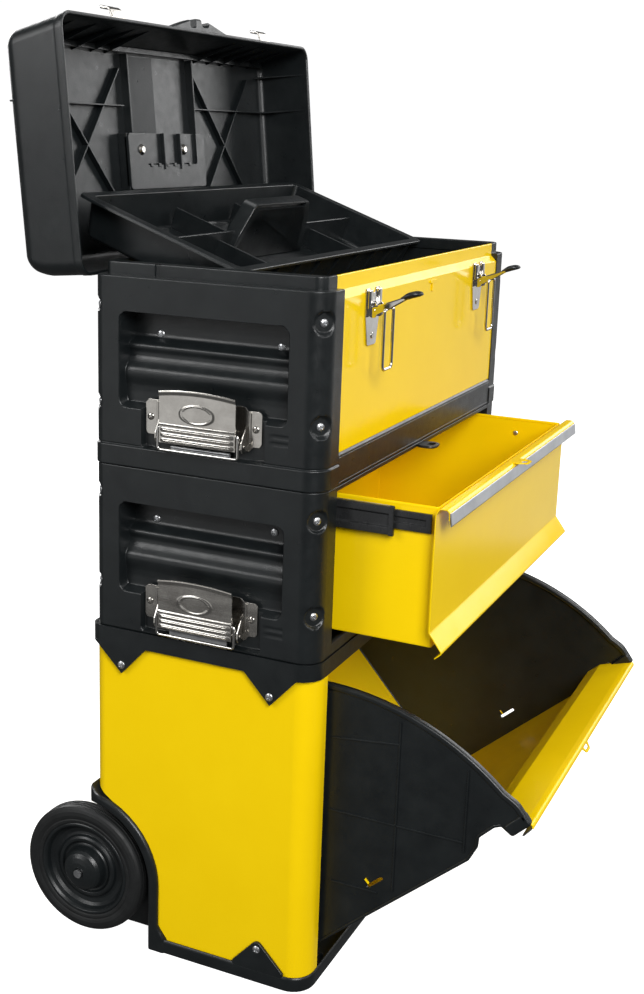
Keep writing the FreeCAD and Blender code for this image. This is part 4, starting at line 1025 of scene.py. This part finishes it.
piece("bin_grip_strip", tipped(folded(strip_line, 1.0, SHEET_HALF, 1.2, 0.25)), "bin", ALUMINIUM,
      "bin_handle_strip")
keep("bin_pins", ZINC, 0.4)


# ---- base
AXLE, ARCH = (122.0, 62.5), (122.0, 65.0)      # y and z of the wheel axle and of the arch


def kerb():
    """Moulded floor pan with a rounded kerb, notched for the wheels."""
    plan = [(-239.6, -109), (239.6, -109), (239.6, 52), (207.6, 52), (207.6, 110),
            (-207.6, 110), (-207.6, 52), (-239.6, 52)]
    loop = fillet(plan, [22, 22, 3, 2, 3, 3, 2, 3], 8)
    steps = [(2.4, 0), (0.7, 0.7), (0, 2.4), (0, 11.6), (0.7, 13.4), (1.6, 14), (2.7, 13.6),
             (3.2, 12.4), (3.4, 5.4), (4.6, 4.0)]
    pan = loft([raise_to("z", z, inset(loop, d)) for d, z in steps])
    ribs = [slab(x - 0.9, x + 0.9, -100, 100, 3.6, 8.0, 0.4, "y") for x in range(-180, 181, 72)]
    feet = [slab(x - 20, x + 20, -104, -96, 0.0, 1.0, 0.4, "z", 3) for x in (-190, 190)]
    return join(pan, *ribs, *feet)


def wheel_arch():
    """Deep arch lining with a thick rolled lip, and the well wall behind the wheel."""
    path = [((33, 0.6), (52, 0.6)), ((33, 13), (52, 13)), ((37.5, 19.5), (52, 20)), ((42, 26.5), (52, 30)),
            ((42, 45), (52, 48))]
    path += list(zip(arc(*ARCH, 80.0, 180, 104, 26), arc(*ARCH, 70.0, 180, 100, 26)))
    path += [((107.5, 146.0), (111.0, 134.2)), ((111.8, 152.8), (111.8, 134.3))]
    rows = []
    for out, inn in path:
        out, inn = np.array(out), np.array(inn)
        wide = float(np.linalg.norm(out - inn))
        section = fillet(rectangle(0, wide, -240.0, -205.6), min(3.6, wide / 2.3), 5)
        rows.append(np.array([(x, *(inn + (out - inn) * t / wide)) for t, x in section]))
    lining = loft(rows)
    void = [(111.8, 134), *arc(*ARCH, 71.0, 99, 180, 16), (51.5, 0.6), (111.8, 0.6)]
    well = plate(void, "x", -207.5, -205.5, 0.3)
    lug = plate(fillet([(108.5, 34), *arc(*AXLE, 15.6, -90, 90, 18), (108.5, 96)], 1.0, 3), "x",
                -207.4, -190.0, 1.2, 3)
    collar = turned([(-190.6, 6.0), (-190.6, 11.0), (-188.4, 10.4), (-188.4, 6.0)], *AXLE, 48)
    return join(lining, well, lug, collar)


tab = plate(fillet([(-32.5, 12.0), (-60.0, 43.0), (-90.5, 12.0)], [3, 5, 3], 5), "x",
            -239.6, -236.2, 0.8, 3)
ear = slab(-209.6, -205.6, -105, -84, 4, 56, 0.8, "x", 5)
piece("base_kerb", kerb(), "base", BLACK, "base_tray")
pair("wheel_arch", wheel_arch(), "base", BLACK)
pair("kerb_tab", join(tab, ear), "base", BLACK)
for side in ("left", "right"):
    keep("base_side_" + side, YELLOW, 0.3)
keep("base_back", YELLOW, 0.2)
keep("base_top_frame", BLACK, 0.7)
keep("wheel_axle", ZINC, 0.6)
heads = [screw((x, y, z), (-1, 0, 0), 3.5) for x, y, z in ((-239.9, 79, 276.5), (-239.9, -66.5, 276.5),
                                                           (-239.5, -60.5, 34))]
pair("base_tab_screws", join(*heads), "base", ZINC, "base_screws")
back_rivets = [rivet((x, 110.0, z), (0, 1, 0), 2.6, 1.1) for x in range(-190, 191, 76) for z in (22, 288)]
piece("base_back_rivets", join(*back_rivets), "base", ZINC)


# ---- wheels
tyre_side = [(-238.4, 46.0), (-238.9, 47.2), (-239.2, 49.0), (-238.7, 50.2), (-239.3, 51.6),
             (-239.9, 54.0), (-239.6, 57.5), (-238.6, 60.0), (-237.0, 61.7), (-235.4, 62.35)]
tread = []
for x in (-232.8, -229.6, -226.4):
    tread += [(x - 0.8, 62.5), (x - 0.5, 61.7), (x - 0.35, 60.6), (x + 0.35, 60.6),
              (x + 0.5, 61.7), (x + 0.8, 62.5)]
tyre_back = [(-224.4, 62.35), (-222.4, 61.4), (-221.4, 59.2), (-221.1, 56.0),
             (-221.2, 50.0), (-222.6, 46.0)]
tyre = turned(fillet([*tyre_side, *tread, *tyre_back], 0.5, 2), *AXLE, 128)
pair("tyre_ring", tyre, "wheel_{side}", RUBBER, "tyre_{side}", crease=50)
hub_profile = [(-237.8, 46.2), (-238.8, 45.0), (-238.6, 43.2), (-236.4, 41.8), (-232.8, 40.4),
               (-230.6, 38.0), (-230.0, 34.0), (-230.6, 31.6), (-233.0, 30.4), (-234.4, 28.6),
               (-234.2, 26.2), (-232.0, 24.6), (-231.4, 22.8), (-233.0, 21.4), (-238.2, 20.3),
               (-240.6, 19.6), (-243.4, 17.6), (-245.4, 14.2), (-246.5, 9.6), (-247.0, 5.4),
               (-246.4, 4.3), (-245.0, 4.1), (-209.8, 4.1), (-209.8, 14.0), (-225.8, 14.2),
               (-226.0, 37.6), (-223.4, 42.0), (-223.2, 46.2)]
hub = turned(fillet(hub_profile, 0.9, 3), *AXLE, 112)
spokes = []
for k in range(8):
    a = math.radians(45 * k + 10)
    blade = slab(-226.2, -222.2, 13.4, 40.0, -1.2, 1.2, 0.4, "x")
    v = np.array(blade[0])
    c, s = math.cos(a), math.sin(a)
    v = np.stack([v[:, 0], AXLE[0] + c * v[:, 1] - s * v[:, 2], AXLE[1] + s * v[:, 1] + c * v[:, 2]], 1)
    spokes.append((v, blade[1]))
pair("wheel_disc", join(hub, *spokes), "wheel_{side}", BLACK, "wheel_hub_{side}", crease=50)
pair("axle_end", moved(screw((-247.0, *AXLE), (-1, 0, 0), 3.9, 1.9, cross=False)), "base", CHROME)


# ---- pull handle
keep("handle_sleeves", BLACK_MATT, 0.6, slot="zinc_steel")
PULL_X, PULL_Y = 90.0, 121.0
tubes = []
for x in (-PULL_X, PULL_X):
    tubes.append(tube([(x, PULL_Y, z) for z in (84, 86, 200, 300, 400, 440, 444)], 6.0, 32))
    tubes.append(slab(x - 2.4, x + 2.4, 126.2, 127.2, 300, 316, 0.4, "y", 2.2))
piece("handle_tube_pair", join(*tubes), "pull_handle", CHROME, "handle_tubes")
grip_rows = []
for x in np.linspace(-82, 82, 120):
    groove = 0.35 * (0.5 + 0.5 * math.cos(x * 2 * math.pi / 9)) * (abs(x) < 62)
    swell = 7.2 + 0.8 * math.exp(-(x / 60) ** 4) - groove
    grip_rows.append(np.array([(x, PULL_Y + swell * math.cos(a), 442 + swell * math.sin(a))
                               for a in np.linspace(0, 2 * math.pi, 32, endpoint=False)]))
bosses = [slab(x - 10.6, x + 10.6, 110.6, 131.4, 426, 452, 2.6, "z", 9.5) for x in (-PULL_X, PULL_X)]
collars = [slab(x - 9, x + 9, 112, 130, 292, 298, 1.4, "z", 8) for x in (-PULL_X, PULL_X)]
piece("handle_grip_bar", join(loft(grip_rows), *bosses), "pull_handle", BLACK_MATT, "handle_grip")
piece("handle_collars", join(*collars), "base", BLACK_MATT)


# ---- floor, light and camera
def area_light(name, place, aim, size, power, colour=(1, 1, 1)):
    data = bpy.data.lights.new(name, "AREA")
    data.shape, data.size, data.size_y = "RECTANGLE", size[0], size[1]
    data.energy, data.color = power, colour
    obj = bpy.data.objects.new(name, data)
    obj.location = place
    obj.rotation_euler = (Vector(aim) - Vector(place)).to_track_quat("-Z", "Y").to_euler()
    obj.visible_camera = False
    bpy.context.scene.collection.objects.link(obj)


floor_mesh = bpy.data.meshes.new("floor")
floor_corners = [(x, y, -0.0005) for x, y in rectangle(-30, 30, -30, 30)]
floor_mesh.from_pydata(floor_corners, [], [(0, 1, 2, 3)])
pale = surface("pale_floor", (0.60, 0.60, 0.60), (0.64, 0.64, 0.64), (0.6, 0.75), 40, 0.0002, mottle=3)
glow = pale.node_tree.nodes["Principled BSDF"].inputs
glow["Emission Color"].default_value = (1, 1, 1, 1)
glow["Emission Strength"].default_value = 0.97
floor_mesh.materials.append(pale)
floor_obj = bpy.data.objects.new("floor", floor_mesh)
bpy.context.scene.collection.objects.link(floor_obj)
floor_obj.visible_diffuse = floor_obj.visible_glossy = False

world = bpy.data.worlds.new("studio")
bpy.context.scene.world = world
world.use_nodes = True
tree = world.node_tree
sky = tree.nodes["Background"]
sky.inputs["Color"].default_value = (1.0, 1.0, 1.0, 1)
rays = tree.nodes.new("ShaderNodeLightPath")
level = tree.nodes.new("ShaderNodeMapRange")
level.inputs["To Min"].default_value, level.inputs["To Max"].default_value = 0.11, 1.05
link(tree, rays, "Is Camera Ray", level, "Value")
link(tree, level, "Result", sky, "Strength")
area_light("key", (-1.9, -1.7, 1.9), (0, 0, 0.40), (1.2, 1.4), 82)
area_light("side", (-2.2, 1.6, 1.7), (0, 0, 0.35), (1.0, 1.4), 30)
area_light("front", (0.2, -2.5, 1.5), (0, 0, 0.4), (1.2, 1.4), 14)
area_light("low", (-2.0, 1.0, 0.15), (-0.24, 0, 0.5), (1.6, 0.7), 2.2)
area_light("low_front", (1.7, -1.1, 0.14), (0, -0.2, 0.45), (1.5, 0.7), 1.8)
area_light("rear", (1.3, 2.3, 1.5), (0, 0, 0.4), (1.2, 1.4), 42)
area_light("right", (2.4, -0.9, 1.4), (0, 0, 0.4), (1.2, 1.4), 20)
area_light("top", (0.1, 0.2, 2.7), (0, 0, 0.5), (1.2, 1.2), 12)

turn, lift, roll = (math.radians(a) for a in (-65.04, 14.29, 1.69))
back = Vector((math.sin(turn) * math.cos(lift), -math.cos(turn) * math.cos(lift), math.sin(lift)))
right = Vector((0, 0, 1)).cross(back).normalized()
up = back.cross(right)
right, up = (math.cos(roll) * right + math.sin(roll) * up, -math.sin(roll) * right + math.cos(roll) * up)
lens = bpy.data.cameras.new("camera")
lens.lens, lens.sensor_width = 49.36, 36.0
lens.shift_x, lens.shift_y = 0.0368, -0.0205
lens.clip_start, lens.clip_end = 0.05, 60
camera = bpy.data.objects.new("camera", lens)
camera.matrix_world = Matrix((right, up, back)).transposed().to_4x4()
camera.location = (-1.20216, -0.52348, 0.73961)
bpy.context.scene.collection.objects.link(camera)
bpy.context.scene.camera = camera
bpy.context.scene.view_settings.view_transform = "Standard"
